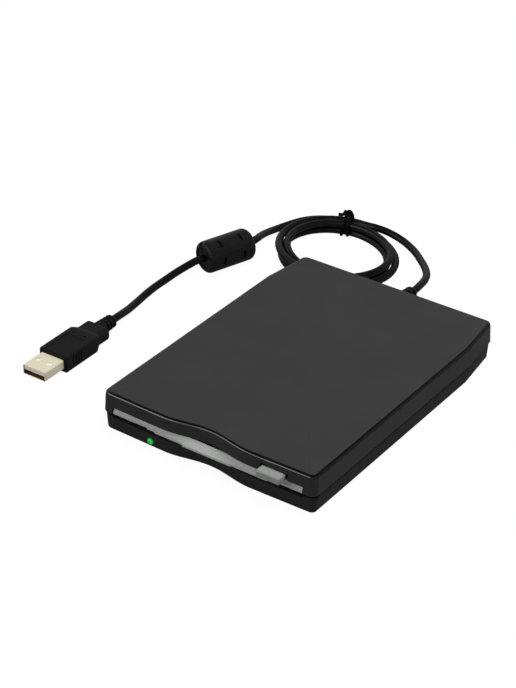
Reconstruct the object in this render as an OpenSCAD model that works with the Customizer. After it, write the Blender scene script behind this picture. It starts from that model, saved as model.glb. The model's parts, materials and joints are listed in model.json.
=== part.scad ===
// External 3.5-inch floppy disk drive with a fixed cord. Millimetres, +Z up, front toward -Y.
// The origin is under the middle of the drive, on the surface that it stands on.

/* [Case] */
// Width of the case at its seam
case_w = 104; // [102:0.5:112]
// Depth of the case from its front face to its back
case_d = 142; // [140:1:152]
// Height of the whole drive over the table
case_h = 18.4; // [18:0.2:22]
// Thickness of the side walls
wall = 1.8; // [1.4:0.1:2]
// Thickness of the roof and of the floor
skin = 1.5; // [1.2:0.1:1.8]
// Radius of the case's upright corners
corner_r = 3.5; // [3:0.5:5]
// Radius of the rounded top and bottom edges
edge_r = 1.3; // [0.8:0.1:1.6]
// How far the walls draw in from the seam to the top or bottom
draft = 0.45; // [0.2:0.05:0.6]
// How far the upper cover's rim stands out over the lower cover
rim = 0.55; // [0.3:0.05:0.7]
// Depth of the hollow in the middle of the front
recess = 3; // [2:0.25:3.5]
// Half the width of that hollow
recess_half = 21; // [18:1:24]
// How far the front bows back at its corners
bow = 0.8; // [0:0.1:1.2]
// Length of the side walls' drawn-in stretch at the back
tail_d = 25.5; // [20:0.5:28]
// How far each side wall draws in over that stretch
tail_in = 3; // [2:0.1:3.2]
// Height of the rubber feet
foot_h = 0.6; // [0.4:0.1:1.5]

/* [Room inside the case] */
// Gap between the drive's back corners and the walls, which draw in there
side_gap = 0.48; // [0.4:0.02:1.5]
// Depth from the front face to the drive, for the door and the button
front_room = 7; // [6.5:0.25:9]
// Depth behind the drive, for the interface board
back_room = 13; // [12:0.5:18]
// Depth of the drive behind a disk, for the head drive
works_d = 30.5; // [29:0.5:34]

/* [Disk] */
// Width of a disk
disk_w = 90; // [88:0.5:91]
// Length of a disk
disk_l = 94; // [92:0.5:95]
// Height of the space that a disk slides in
disk_space = 4.5; // [4.3:0.1:4.8]
// How far the disk is lowered onto the spindle
drop = 2; // [1.5:0.1:2.2]
// Radius of the outermost track
track_r = 39.5; // [38:0.5:40]
// Travel of the heads over the disk
head_travel = 14.8; // [12:0.1:15]

/* [Controls] */
// Width of the eject button
button_w = 11.2; // [9:0.2:13]
// Height of the eject button
button_h = 3.3; // [2.8:0.1:3.6]
// How far the button stands out of the front
button_out = 3.7; // [3:0.1:5]
// Middle of the button, right of the middle of the drive
button_x = 32.8; // [28:0.2:36]
// How far the button comes out when a disk is in
eject_travel = 5; // [4:0.25:5.5]
// Radius of the light in the front
led_r = 1.45; // [1:0.05:1.6]
// Place of the light, left of the middle of the drive
led_x = -27.4; // [-36:0.2:-20]

/* [Cord] */
// Diameter of the cord
cord_d = 3.5; // [3.2:0.1:3.6]
// Turns in the coil
coil_turns = 2.95;
// Smallest radius of the coil, at the middle of the cord
coil_r = 22.6; // [21:0.2:26]
// Step from one loop to the next
coil_step = 3.98; // [3.95:0.01:4.4]
// Diameter of the ferrite's housing
ferrite_d = 15.2; // [13:0.2:17]
// Length of the ferrite's housing
ferrite_l = 25.5; // [24:0.5:32]
// Length of the ribbed sleeve behind the case
relief_l = 13; // [10:0.5:18]
// Diameter of that sleeve where it meets the case
relief_d = 8.4; // [7:0.2:9]

/* [Plug] */
// Width of the plug's grip
grip_w = 15; // [14:0.5:16]
// Thickness of the plug's grip
grip_t = 8; // [7.4:0.2:9]
// Length of the plug's grip, without its neck
grip_l = 22; // [18:0.5:24]
// Width of the metal plug
usb_w = 12;
// Height of the metal plug
usb_h = 4.5;
// Length of the metal plug outside its grip
usb_l = 12.4; // [11.8:0.1:13]

/* [Hidden] */

// Fits
slip = 0.05;      // radial gap of a pin in its running bore
clear = 0.3;      // gap between pieces that pass each other
eps = 0.01;       // overshoot of a cut

// Heights of the stack, from the table up
floor_z = foot_h + skin;
roof_z = case_h - skin;
board_t = 1;
board_z = floor_z + 0.4;
board_top = board_z + board_t;
sheet_t = 0.8;
chassis_z = board_top + clear;
chassis_top = chassis_z + sheet_t;
disk_z = chassis_z + 3.8;          // underside of a disk that is not yet lowered
seam_z = disk_z + 1.7;
holder_t = 0.6;
holder_z = disk_z + disk_space;    // underside of the holder's roof
holder_top = holder_z + holder_t;
slide_z = holder_top + 0.7;
slide_t = 0.6;
shield_z = slide_z + slide_t + 0.6;
shield_t = 0.4;
slot_z0 = disk_z - 0.4;
slot_z1 = holder_z + clear;
hub_z = disk_z - 1;                // top of the chuck, inside the lowered disk's hub

// Plan of the drive inside the case, from the walls inward, measured from the middle of the case
rail_t = 0.5;
flange_t = 0.5;
side_t = 0.6;
drive_front = -case_d / 2 + front_room;
drive_back = case_d / 2 - back_room;
bend_y = case_d / 2 - tail_d;      // where the side walls start to draw in
drawn_in = max(tail_in * (drive_back - bend_y) / tail_d, 0);
side_out = case_w / 2 - wall - rim - drawn_in - side_gap;
side_x = side_out - side_t;
flange_x = side_x - clear - flange_t;
rail_x = flange_x - clear - rail_t;  // inner face of the holder's rails
disk_back = drive_back - works_d;
hub_y = disk_back - disk_l / 2 + 0.5;
button_y = case_d / 2 + button_out;
case_y = button_out / 2;           // puts the origin under the middle of the drive
screw_y = case_d / 2 - 6;
screw_x = case_w / 2 - 10;

// Front slot and its door
slot_half = rail_x + 0.8;
door_half = slot_half - clear;
door_y = -case_d / 2 + 2.1;
door_z = slot_z1 - 0.7;
door_pin_r = 0.5;
door_barrel_r = 0.6;
door_pin_l = 2.2;
ear_l = 3;
spring_pocket = 0.9;               // width of the pocket for the door's spring, at the left pin

// Mechanism
cam_pin_r = 0.8;
cam_pin_z = disk_z + 2.4;
cam_ys = [drive_front + 18, disk_back - 17.5];
guide_pin_r = 0.7;
guide_ys = [drive_front + 32, disk_back - 33.5];
guide_pin_z = slide_z - 0.9;
arm_y = drive_back - 11.2;
arm_z = holder_top + 0.1;
track_y = hub_y + track_r;
head_l = 6;                        // length of the arms' ends round the heads
rod_x = -16;
rod_r = 1.25;
rod_z = chassis_top + 1.8;
screw_x0 = side_x - 23.1;          // axis of the lead screw
lead_r = 1.2;
motor_r = 4;
motor_y = drive_back - 7.5;
nut_y = [drive_back - 11, drive_back - 9];
lever_at = [5.5 - rail_x, hub_y + 22];
lever_l = rail_x - 18.5;
peg_r = 0.9;
lever_rest = 15;
lever_swing = 55;
boss_x = side_x - 3.6;             // bosses under the drive
switch_x = [5.5 - boss_x, boss_x - 6, boss_x - 11.5];
switch_y = [drive_front + 8, drive_front + 16, drive_front + 8];
switch_half = 2;
switch_floor = board_top + 0.2;
plunger_r = 0.8;
plunger_travel = 1.2;

// ---------- outline of the case ----------
front_steps = 38;
corner_steps = 7;
function front_y(x) = -case_d / 2 + bow * pow(x / (case_w / 2), 2)
    + (abs(x) < recess_half ? recess * (1 + cos(180 * x / recess_half)) / 2 : 0);
front_end = case_w / 2 - corner_r;
corner_y = front_y(front_end) + corner_r;
tail_angle = atan(tail_in / tail_d);
back_x = case_w / 2 - tail_in + corner_r * tan(tail_angle / 2);

function arc(c, r, a0, a1, n) = [for (i = [0:n]) let (a = a0 + (a1 - a0) * i / n)
    [c[0] + r * cos(a), c[1] + r * sin(a)]];
function mirrored(p) = [for (i = [len(p) - 1:-1:0]) [-p[i][0], p[i][1]]];
right_side = concat(
    arc([front_end, corner_y], corner_r, -88, 0, corner_steps),
    [for (i = [1:4]) [case_w / 2, corner_y + (bend_y - corner_y) * i / 4]],
    arc([back_x - corner_r, case_d / 2 - corner_r], corner_r, tail_angle, 90, corner_steps));
case_outline = concat(
    [for (i = [0:front_steps]) let (x = front_end * (2 * i / front_steps - 1)) [x, front_y(x)]],
    right_side, mirrored(right_side));

function around(p, i) = let (n = len(p), a = p[(i + n - 1) % n], b = p[(i + 1) % n]) b - a;
function inset(p, k) = [for (i = [0:len(p) - 1]) let (d = around(p, i))
    p[i] - k * [d[1], -d[0]] / norm(d)];

// A closed skin through rings of [height, inset], each ring the same outline drawn in
module ring_skin(outline, rings) {
    n = len(outline);
    m = len(rings);
    points = concat(
        [for (r = rings) for (q = inset(outline, r[1])) [q[0], q[1], r[0]]],
        [[0, 0, rings[0][0]], [0, 0, rings[m - 1][0]]]);
    faces = concat(
        [for (j = [0:m - 2]) for (i = [0:n - 1]) let (a = j * n + i, b = j * n + (i + 1) % n)
            each [[a, a + n, b + n], [a, b + n, b]]],
        [for (i = [0:n - 1]) [n * m, i, (i + 1) % n]],
        [for (i = [0:n - 1]) let (t = (m - 1) * n) [n * m + 1, t + (i + 1) % n, t + i]]);
    polyhedron(points, faces);
}
edge_steps = [0, 25, 50, 75, 90];
module case_block(from, to) {
    translate([0, 0, from]) linear_extrude(to - from) polygon(inset(case_outline, wall));
}

// ---------- small shared shapes ----------
module at_case() { translate([0, case_y, 0]) children(); }
module box(x, y, z) { translate([x[0], y[0], z[0]]) cube([x[1] - x[0], y[1] - y[0], z[1] - z[0]]); }
module both_sides() { children(); mirror([1, 0, 0]) children(); }
module x_rod(x0, x1, y, z, r) {
    translate([x0, y, z]) rotate([0, 90, 0]) cylinder(h = x1 - x0, r = r, $fn = 32);
}
module y_rod(y0, y1, x, z, r) {
    translate([x, y0, z]) rotate([-90, 0, 0]) cylinder(h = y1 - y0, r = r, $fn = 32);
}
module post(p, z0, z1, r) { translate([p[0], p[1], z0]) cylinder(h = z1 - z0, r = r, $fn = 32); }
// A slot for a pin that runs from one point to another in the YZ plane
module slot_yz(x, a, b, r) {
    d = b - a;
    angle = atan2(d[1], d[0]);
    for (p = [a, b]) x_rod(x[0], x[1], p[0], p[1], r);
    translate([x[0], a[0], a[1]]) rotate([angle, 0, 0])
        translate([0, 0, -r]) cube([x[1] - x[0], norm(d), 2 * r]);
}
// A cross-head screw with the outer face of its head at z0; it points up, or down when flipped
module screw(p, z0, head_r, head_t, shank_r, length, flip = false) {
    cross_w = 0.5;
    translate([p[0], p[1], z0]) mirror([0, 0, flip ? 1 : 0]) difference() {
        union() {
            cylinder(h = head_t, r = head_r, $fn = 32);
            cylinder(h = length, r = shank_r, $fn = 32);
        }
        for (a = [0, 90]) rotate(a) translate([-head_r * 0.6, -cross_w / 2, -eps])
            cube([head_r * 1.2, cross_w, head_t / 2]);
    }
}

// ---------- case ----------
case_boss_r = 2.6;
case_shank_r = 1;
drive_bosses = [for (x = [-boss_x, boss_x]) for (y = [drive_front + 6, drive_back - 6]) [x, y]];
ribbon_x = [-18, -4];
usb_x = [ribbon_x[0] - 8, screw_x - 6];
usb_bosses = [[usb_x[0] + 5, screw_y], [usb_x[1] - 5, screw_y]];
usb_board_z = floor_z + 3;
drive_shank_r = 0.9;
drive_head_r = 1.8;
drive_head_t = 0.5;
relief_neck_r = 2.8;
relief_z = seam_z;
relief_in = case_d / 2 - wall - rim - slip;
relief_flange_t = 1.4;
flange_r = 4.2;

module button_notch() {
    box([button_x - button_w / 2 - 0.6, button_x + button_w / 2 + 1], [-case_d, drive_front],
        [slot_z1 - eps, slot_z1 + button_h + 0.2]);
}

module top_cover() {
    rings = concat([[seam_z, 0]], [for (a = edge_steps)
        [case_h - edge_r + edge_r * sin(a), draft + edge_r * (1 - cos(a))]]);
    color([0.16, 0.16, 0.17]) difference() {
        union() {
            difference() {
                ring_skin(case_outline, rings);
                case_block(seam_z - 1, roof_z);
            }
            // Ears that carry the door's pins, behind the front wall
            both_sides() box([slot_half, slot_half + ear_l],
                [front_y(slot_half) + wall - 0.4, door_y + 2.2], [door_z - 1.6, slot_z1 + 1.2]);
            // Bosses for the case screws
            both_sides() post([screw_x, screw_y], seam_z, roof_z + eps, case_boss_r);
        }
        // Upper half of the disk slot and the button's notch
        box([-slot_half, slot_half], [-case_d, drive_front], [seam_z - 1, slot_z1]);
        button_notch();
        both_sides() x_rod(slot_half - 1, slot_half + door_pin_l + 0.2, door_y, door_z,
            door_pin_r + slip);
        box([-slot_half - spring_pocket, -slot_half + eps], [door_y - 1, door_y + 2.4],
            [door_z - 2.1, door_z + 1]);
        both_sides() post([screw_x, screw_y], seam_z - 1, seam_z + 6, case_shank_r);
        y_rod(case_d / 2 - 4, case_d / 2 + 1, 0, relief_z, relief_neck_r + slip);
    }
}

module bottom_cover() {
    low = foot_h + edge_r;
    rings = concat([for (a = [90, 75, 50, 25, 0])
        [low - edge_r * sin(a), rim + draft + edge_r * (1 - cos(a))]], [[seam_z, rim]]);
    lip_h = 1.1;
    color([0.13, 0.13, 0.14]) difference() {
        union() {
            difference() {
                ring_skin(case_outline, rings);
                translate([0, 0, floor_z]) linear_extrude(seam_z) polygon(inset(case_outline, wall + rim));
            }
            // Lip that centres the upper cover, left out round the slot and the cord
            difference() {
                translate([0, 0, seam_z - 1.5]) linear_extrude(1.5 + lip_h) difference() {
                    polygon(inset(case_outline, wall + slip));
                    polygon(inset(case_outline, wall + rim + 0.25));
                }
                box([-case_w, case_w], [-case_d, drive_front + 2], [0, case_h]);
                box([-6, 6], [0, case_d], [seam_z - 1.6, case_h]);
            }
            for (p = drive_bosses) post(p, foot_h + 0.5, chassis_z, 2.5);
            for (p = usb_bosses) post(p, foot_h + 0.5, usb_board_z, 2.2);
            both_sides() post([screw_x, screw_y], foot_h + 0.5, seam_z, case_boss_r);
        }
        box([-slot_half, slot_half], [-case_d, drive_front - 1], [slot_z0, seam_z + 2]);
        y_rod(-case_d / 2 - 1, -case_d / 2 + 5, led_x, led_z, led_r + slip);
        // Countersunk holes for the case screws
        both_sides() post([screw_x, screw_y], foot_h - 1, foot_h + 1.9, 2.1);
        both_sides() post([screw_x, screw_y], foot_h - 1, seam_z + 1, case_shank_r + slip);
        for (p = drive_bosses) post(p, floor_z - 0.5, chassis_z + 1, drive_shank_r);
        for (p = usb_bosses) post(p, floor_z, usb_board_z + 1, drive_shank_r);
        y_rod(case_d / 2 - 5, case_d / 2 + 1, 0, relief_z, relief_neck_r + slip);
    }
}

module case_screws() {
    color([0.55, 0.55, 0.57])
        for (s = [-1, 1]) screw([s * screw_x, screw_y], foot_h + 0.4, 2, 1.5, case_shank_r - slip / 2,
            seam_z + 4);
}

foot_r = 4;
module rubber_feet() {
    color([0.08, 0.08, 0.08]) for (x = [-screw_x, screw_x])
        for (y = [14 - case_d / 2, case_d / 2 - 19]) post([x, y], 0, foot_h, foot_r);
}

// ---------- dust door ----------
// The door is a row of stretches along X, each [from, to, reach of the nose, foot of the nose]
door_steps = [[-door_half, -28.5, 1.3, 2.2], [-28.5, -24.5, 1.7, 2.35], [-24.5, -10.5, 2.1, 2.55],
    [-10.5, 13, 2.35, 3.05], [13, 30.2, 2.1, 2.75], [30.2, door_half, 1.3, 2.25]];
nose_t = 0.9;
module dust_door() {
    color([0.68, 0.69, 0.7]) {
        for (s = door_steps) translate([s[0], door_y, door_z]) rotate([90, 0, 90])
            linear_extrude(s[1] - s[0]) polygon([[-0.2, 0.55], [-s[2] + 0.25, -s[3] + 1.15],
                [-s[2], -s[3] + 0.95], [-s[2], -s[3]], [-s[2] + nose_t, -s[3]], [0.4, -0.45]]);
        x_rod(-door_half, door_half, door_y, door_z, door_barrel_r);
        x_rod(-slot_half - door_pin_l, slot_half + door_pin_l, door_y, door_z, door_pin_r);
    }
}

// Torsion spring round the door's left pin: its turns, a fixed leg and a leg behind the door
module door_spring() {
    wire = 0.28;
    outer = 0.9;
    x0 = -slot_half - spring_pocket + 0.15;
    color([0.75, 0.75, 0.72]) translate([x0, door_y, door_z]) {
        difference() {
            x_rod(0, 2 * wire, 0, 0, outer);
            x_rod(-1, 1, 0, 0, outer - wire);
        }
        box([0, wire], [0, 2], [outer - wire, outer]);
        box([0, wire], [0.05, 0.05 + wire], [-2, -outer + 0.1]);
        box([0, 1.9], [0.05, 0.05 + wire], [-2, -2 + wire]);
    }
}

// ---------- eject button and light ----------
button_z = slot_z1 - 0.4;
stem_z = [slide_z - 0.25, shield_z - clear - slip];
tab_half = 3;
module eject_button() {
    r = 0.9;
    half = button_w / 2;
    color([0.7, 0.7, 0.71]) {
        hull() for (x = [-half + r, half - r]) for (z = [button_z + r, button_z + button_h - r]) {
            translate([button_x + x, -button_y + r, z]) sphere(r = r, $fn = 32);
            y_rod(-button_y + 2, door_y - 1.5, button_x + x, z, r);
        }
        difference() {
            box([button_x - half + 0.8, button_x + half - 0.8], [door_y - 1.6, drive_front + 2], stem_z);
            box([button_x - tab_half, button_x + tab_half], [drive_front, drive_front + 3],
                [slide_z, slide_z + slide_t]);
        }
    }
}

led_z = floor_z + led_r;
led_back = drive_front + 1;
module led_lens() {
    color([0.2, 0.85, 0.3]) {
        y_rod(-case_d / 2 + 0.2, -case_d / 2 + wall + 1.6, led_x, led_z, led_r);
        y_rod(-case_d / 2 + wall + 1.4, led_back, led_x, led_z, led_r - 0.25);
    }
}
module led() {
    color([0.9, 0.95, 0.85]) {
        box([led_x - 1.3, led_x + 1.3], [led_back, led_back + 2], [board_top, board_top + 1]);
    }
}

// ---------- chassis ----------
window_x = [7.1 - side_x, side_x - 13.1];
window_y = track_y - head_l / 2 - head_travel - 0.2;
rotor_r = 18.5;
module drive_chassis() {
    color([0.72, 0.73, 0.75]) difference() {
        union() {
            box([-side_out, side_out], [drive_front, drive_back], [chassis_z, chassis_top]);
            both_sides() box([side_x, side_out], [drive_front, drive_back], [chassis_z, shield_z]);
        }
        // Round hole for the rotor, and the open bay of the heads
        post([0, hub_y], chassis_z - 1, chassis_top + 1, rotor_r + 1);
        box(window_x, [window_y, drive_back + 1], [chassis_z - 1, chassis_top + 1]);
        box([led_x - 3, led_x + 3], [drive_front - 1, drive_front + 5], [chassis_z - 1, chassis_top + 1]);
        for (p = drive_bosses) {
            post(p, chassis_z - 1, chassis_top + 1, drive_shank_r + slip);
            post(p, chassis_top - drive_head_t, chassis_top + 1, drive_head_r + slip);
        }
        for (i = [0:2]) box([switch_x[i] - switch_half - clear, switch_x[i] + switch_half + clear],
            [switch_y[i] - switch_half - clear, switch_y[i] + switch_half + clear],
            [chassis_z - 1, chassis_top + 1]);
        both_sides() for (y = cam_ys) slot_yz([side_x - 1, side_out + 1], [y, cam_pin_z - drop],
            [y, cam_pin_z], cam_pin_r + slip);
        both_sides() for (y = guide_ys) slot_yz([side_x - 1, side_out + 1],
            [y - eject_travel, guide_pin_z], [y, guide_pin_z], guide_pin_r + slip);
    }
}

module drive_shield() {
    color([0.78, 0.79, 0.81]) difference() {
        box([-side_out, side_out], [drive_front, drive_back], [shield_z, shield_z + shield_t]);
        // Window over the heads, as the arm lifts into it
        box([-9, 9], [disk_back - 14, drive_back - 4], [shield_z - 1, shield_z + 1]);
    }
    // Tabs that clip over the chassis sides
    color([0.78, 0.79, 0.81]) both_sides()
        for (y = [drive_front + 10, (guide_ys[0] + guide_ys[1]) / 2, drive_back - 34, drive_back - 8])
            box([side_out, side_out + 0.3], [y - 3, y + 3], [shield_z - 2, shield_z + shield_t]);
}

module drive_screws() {
    color([0.6, 0.6, 0.62]) for (p = drive_bosses)
        screw(p, chassis_top, drive_head_r, drive_head_t, drive_shank_r - slip / 2, 1.6, true);
}

// ---------- boards ----------
board_x = side_x - 7.1;
board_front = drive_front + 22;
module main_board() {
    led_tongue = 3;
    color([0.1, 0.35, 0.18]) difference() {
        union() {
            box([-board_x, board_x], [board_front, drive_back - 9], [board_z, board_top]);
            box([led_x - led_tongue, led_x + led_tongue], [led_back, board_front + 1], [board_z, board_top]);
            for (x = switch_x) box([x - switch_half - 0.6, x + switch_half + 0.6],
                [drive_front + 5, board_front + 1], [board_z, board_top]);
        }
        post([0, hub_y], board_z - 1, board_top + 1, spindle_r + 0.6);
    }
}

module board_parts() {
    color([0.12, 0.12, 0.13]) translate([-board_x, drive_back, board_top]) {
        box([3, 13], [-46, -36], [0, 1.2]);
        box([4, 10], [-28, -24], [0, 1]);
        for (i = [0:3]) box([4 + 3 * i, 5.4 + 3 * i], [-33, -30.6], [0, 0.8]);
        box([3, 7], [-20, -17], [0, 1.4]);
    }
}

// ---------- spindle ----------
spindle_r = 2;
bearing_r = 4;
rotor_z = board_top + 1.3;
module motor_stator() {
    poles = 9;
    color([0.75, 0.42, 0.2]) translate([0, hub_y, board_top]) difference() {
        union() {
            cylinder(h = 0.6, r = 6.5, $fn = 48);
            for (i = [0:poles - 1]) rotate(i * 360 / poles) translate([5.5, -1.6, 0]) cube([8, 3.2, 0.9]);
        }
        translate([0, 0, -1]) cylinder(h = 3, r = bearing_r, $fn = 48);
    }
}
module spindle_bearing() {
    color([0.75, 0.65, 0.35]) difference() {
        post([0, hub_y], board_top, board_top + 1.1, bearing_r);
        post([0, hub_y], board_top - 1, board_top + 2, spindle_r + slip);
    }
}
module spindle_rotor() {
    color([0.7, 0.71, 0.73]) difference() {
        union() {
            post([0, hub_y], rotor_z, rotor_z + 0.6, rotor_r);
            post([0, hub_y], rotor_z - 1, rotor_z, rotor_r);
        }
        post([0, hub_y], rotor_z - 2, rotor_z, rotor_r - 0.4);
        post([0, hub_y], rotor_z - 2, rotor_z + 2, spindle_r);
    }
}
module rotor_magnet() {
    color([0.25, 0.25, 0.27]) difference() {
        post([0, hub_y], rotor_z - 1, rotor_z, rotor_r - 0.4);
        post([0, hub_y], rotor_z - 2, rotor_z + 1, rotor_r - 3.6);
    }
}
module spindle_hub() {
    top = rotor_z + 0.6;
    color([0.85, 0.85, 0.86]) {
        post([0, hub_y], board_top + 0.05, hub_z + 0.8, spindle_r);
        post([0, hub_y], top, hub_z, 11.5);
        post([4.5, hub_y], hub_z, hub_z + 0.7, 1.1);
    }
}

// ---------- slide ----------
slide_back = hub_y + 17;
flange_back = disk_back - 7.5;
spring_x = flange_x - 16.3;
spring_y = [drive_front + 18, drive_front + 38];
module slide_plate() {
    window_half = 2;
    color([0.8, 0.8, 0.82]) {
        difference() {
            union() {
                box([-flange_x - flange_t, flange_x + flange_t], [drive_front + 4, slide_back],
                    [slide_z, slide_z + slide_t]);
                both_sides() box([flange_x, flange_x + flange_t], [drive_front + 4, flange_back],
                    [disk_z - 0.8, slide_z + slide_t]);
                box([button_x - tab_half, button_x + tab_half], [drive_front, drive_front + 5],
                    [slide_z, slide_z + slide_t]);
            }
            both_sides() for (y = cam_ys) slot_yz([flange_x - 1, flange_x + flange_t + 1], [y, cam_pin_z],
                [y + eject_travel, cam_pin_z - drop], cam_pin_r + slip);
            both_sides() box([spring_x - window_half, spring_x + window_half],
                [spring_y[0] - 2, spring_y[1] + eject_travel + 2], [slide_z - 1, slide_z + 1]);
            // Lightening holes
            for (x = [-12, 12]) post([x, drive_front + 24], slide_z - 1, slide_z + 1, 5);
        }
        both_sides() for (y = guide_ys)
            x_rod(flange_x + flange_t - eps, side_out + 0.25, y, guide_pin_z, guide_pin_r);
        // Posts that the springs pull on
        both_sides() box([spring_x - window_half, spring_x + window_half],
            [spring_y[1] + 0.7, spring_y[1] + 1.3], [slide_z, slide_z + slide_t]);
    }
}

// Two tension springs, hooked between the shield and the slide
spring_r = 0.75;
module slide_springs() {
    turns = 9;
    wire = 0.3;
    length = spring_y[1] - spring_y[0] - 3;
    steps = turns * 8;
    route = [for (i = [0:steps]) let (a = 360 * turns * i / steps)
        [spring_x + (spring_r - wire / 2) * cos(a), spring_y[0] + 1.5 + length * i / steps,
            slide_z + slide_t / 2 + (spring_r - wire / 2) * sin(a)]];
    color([0.7, 0.7, 0.68]) both_sides() {
        tube(route, wire, 6);
        post([spring_x, spring_y[0] + 0.9], slide_z - 0.3, shield_z, 0.5);
    }
}

// ---------- disk holder ----------
holder_front = drive_front - 0.4;
lip_x = min(disk_w / 2, rail_x) - 2.5;  // inner edge of the lips that carry a disk
head_bay = 9;
module disk_holder() {
    color([0.83, 0.84, 0.86]) {
        difference() {
            box([-rail_x - rail_t, rail_x + rail_t], [holder_front, disk_back], [holder_z, holder_top]);
            box([-head_bay, head_bay], [window_y - 1.5, disk_back + 1],
                [holder_z - 1, holder_top + 1]);
            // Arc slot that the shutter lever's peg sweeps along
            translate([lever_at[0], lever_at[1], holder_z - 1]) rotate(lever_rest - 4)
                rotate_extrude(angle = lever_swing + 8, $fn = 64)
                    translate([lever_l - peg_r - clear, 0]) square([2 * (peg_r + clear), 3]);
            post(lever_at, holder_z - 1, holder_top + 1, 1);
        }
        both_sides() {
            box([rail_x, rail_x + rail_t], [holder_front, disk_back], [disk_z - holder_t, holder_z + eps]);
            box([lip_x, rail_x + eps], [holder_front, disk_back], [disk_z - holder_t, disk_z]);
            for (y = cam_ys) x_rod(rail_x + rail_t - eps, side_out + 0.25, y, cam_pin_z, cam_pin_r);
        }
    }
}
lever_z = holder_top + 0.3;
lever_t = 0.6;
module lever_pivot() {
    color([0.8, 0.8, 0.8]) {
        post(lever_at, holder_z, lever_z + lever_t + 0.1, 1);
        post(lever_at, holder_top, lever_z - 0.05, 1.8);
        post(lever_at, lever_z + lever_t + 0.1, lever_z + lever_t + 0.4, 1.7);
    }
}
module shutter_lever() {
    color([0.78, 0.76, 0.6]) difference() {
        union() {
            post(lever_at, lever_z, lever_z + lever_t, 2.4);
            translate([lever_at[0], lever_at[1], lever_z]) rotate(lever_rest) {
                translate([0, -1.2, 0]) cube([lever_l, 2.4, lever_t]);
                translate([lever_l, 0, 0]) cylinder(h = lever_t, r = 1.2, $fn = 32);
                translate([lever_l, 0, -3.2]) cylinder(h = 3.2 + eps, r = peg_r, $fn = 32);
            }
        }
        post(lever_at, lever_z - 1, lever_z + 2, 1 + slip);
    }
}
module lever_spring() {
    color([0.7, 0.7, 0.68]) translate([lever_at[0], lever_at[1], holder_top]) {
        difference() {
            cylinder(h = 0.28, r = 2.5, $fn = 32);
            translate([0, 0, -1]) cylinder(h = 2, r = 1.9, $fn = 32);
        }
        translate([-5, 2.1, 0]) cube([5, 0.28, 0.28]);
    }
}

// ---------- heads ----------
root_y = [drive_back - 13.5, drive_back - 8.8];
lower_arm_z = [chassis_z + 0.1, chassis_z + 1.4];
head_z = disk_z - drop + 1.55;     // working face of the lower head
arm_half = 4.5;
module head_carriage() {
    color([0.2, 0.2, 0.21]) difference() {
        union() {
            box([-6, 6], [track_y - head_l / 2, root_y[1]], lower_arm_z);
            box([rod_x - 3, 8], root_y, [lower_arm_z[0], rod_z + 2.2]);
            box([8, screw_x0 - 3.3], root_y, [lower_arm_z[0], rod_z]);
            // Ears that carry the upper arm's pin
            both_sides() box([arm_half + 0.3, 8], root_y, [rod_z, arm_z + 1.3]);
            // Half nut that rides in the screw's thread
            box([screw_x0 - 3.4, screw_x0 - lead_r - slip], nut_y, [rod_z - 1.5, rod_z + 1.5]);
        }
        y_rod(root_y[0] - 1, root_y[1] + 1, rod_x, rod_z, rod_r + slip);
        x_rod(-9, 9, arm_y, arm_z, arm_pin_r);
        box([-arm_half - 0.3, arm_half + 0.3], [root_y[0] - 1, root_y[1] + 1], [rod_z + 1.5, case_h]);
    }
}
module lower_head() {
    color([0.85, 0.84, 0.78]) box([-2, 2], [track_y - 2.4, track_y + 2.4], [lower_arm_z[1], head_z]);
}
arm_pin_r = 0.8;
arm_t = 1.2;
head_t = 0.7;
upper_head_z = holder_z - 0.1;
module upper_arm() {
    z = [upper_head_z + head_t, upper_head_z + head_t + arm_t];
    color([0.22, 0.22, 0.23]) difference() {
        union() {
            box([-3.2, 3.2], [track_y - head_l / 2, arm_y], z);
            box([-arm_half, arm_half], [arm_y - 4, arm_y], z);
            x_rod(-arm_half, arm_half, arm_y, arm_z, 1.7);
        }
        x_rod(-arm_half - 1, arm_half + 1, arm_y, arm_z, arm_pin_r + slip);
        box([-1.4, 1.4], [track_y + 6, arm_y - 8], [upper_head_z, case_h]);
    }
}
module upper_head() {
    color([0.85, 0.84, 0.78]) box([-2, 2], [track_y - 2.4, track_y + 2.4],
        [upper_head_z, upper_head_z + head_t]);
}
module arm_pin() { color([0.8, 0.8, 0.8]) x_rod(-8.4, 8.4, arm_y, arm_z, arm_pin_r); }
// A blade on the carriage's ears that presses the arm down
module arm_spring() {
    color([0.75, 0.75, 0.72]) {
        both_sides() box([arm_half + 0.4, 7.6], root_y, [arm_z + 1.3, arm_z + 1.5]);
        box([-7.6, 7.6], [root_y[1] - 1, root_y[1]], [arm_z + 2.0, arm_z + 2.2]);
        both_sides() box([arm_half + 0.4, 7.6], [root_y[1] - 0.2, root_y[1]], [arm_z + 1.3, arm_z + 2.2]);
    }
}
// Flat lead from the carriage down to the main board
module head_flex() {
    t = 0.2;
    y0 = root_y[1];
    y1 = y0 + 3;
    z0 = board_z + t;
    z1 = lower_arm_z[0] + 0.3;
    color([0.75, 0.5, 0.2]) translate([-3.5, 0, 0]) rotate([90, 0, 90]) linear_extrude(4)
        polygon([[y0, z1 + t], [y1, z1 + t], [y1, z0], [y0 + t, z0], [y0 + t, z0 + t], [y1 - t, z0 + t],
            [y1 - t, z1], [y0, z1]]);
}

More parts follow.
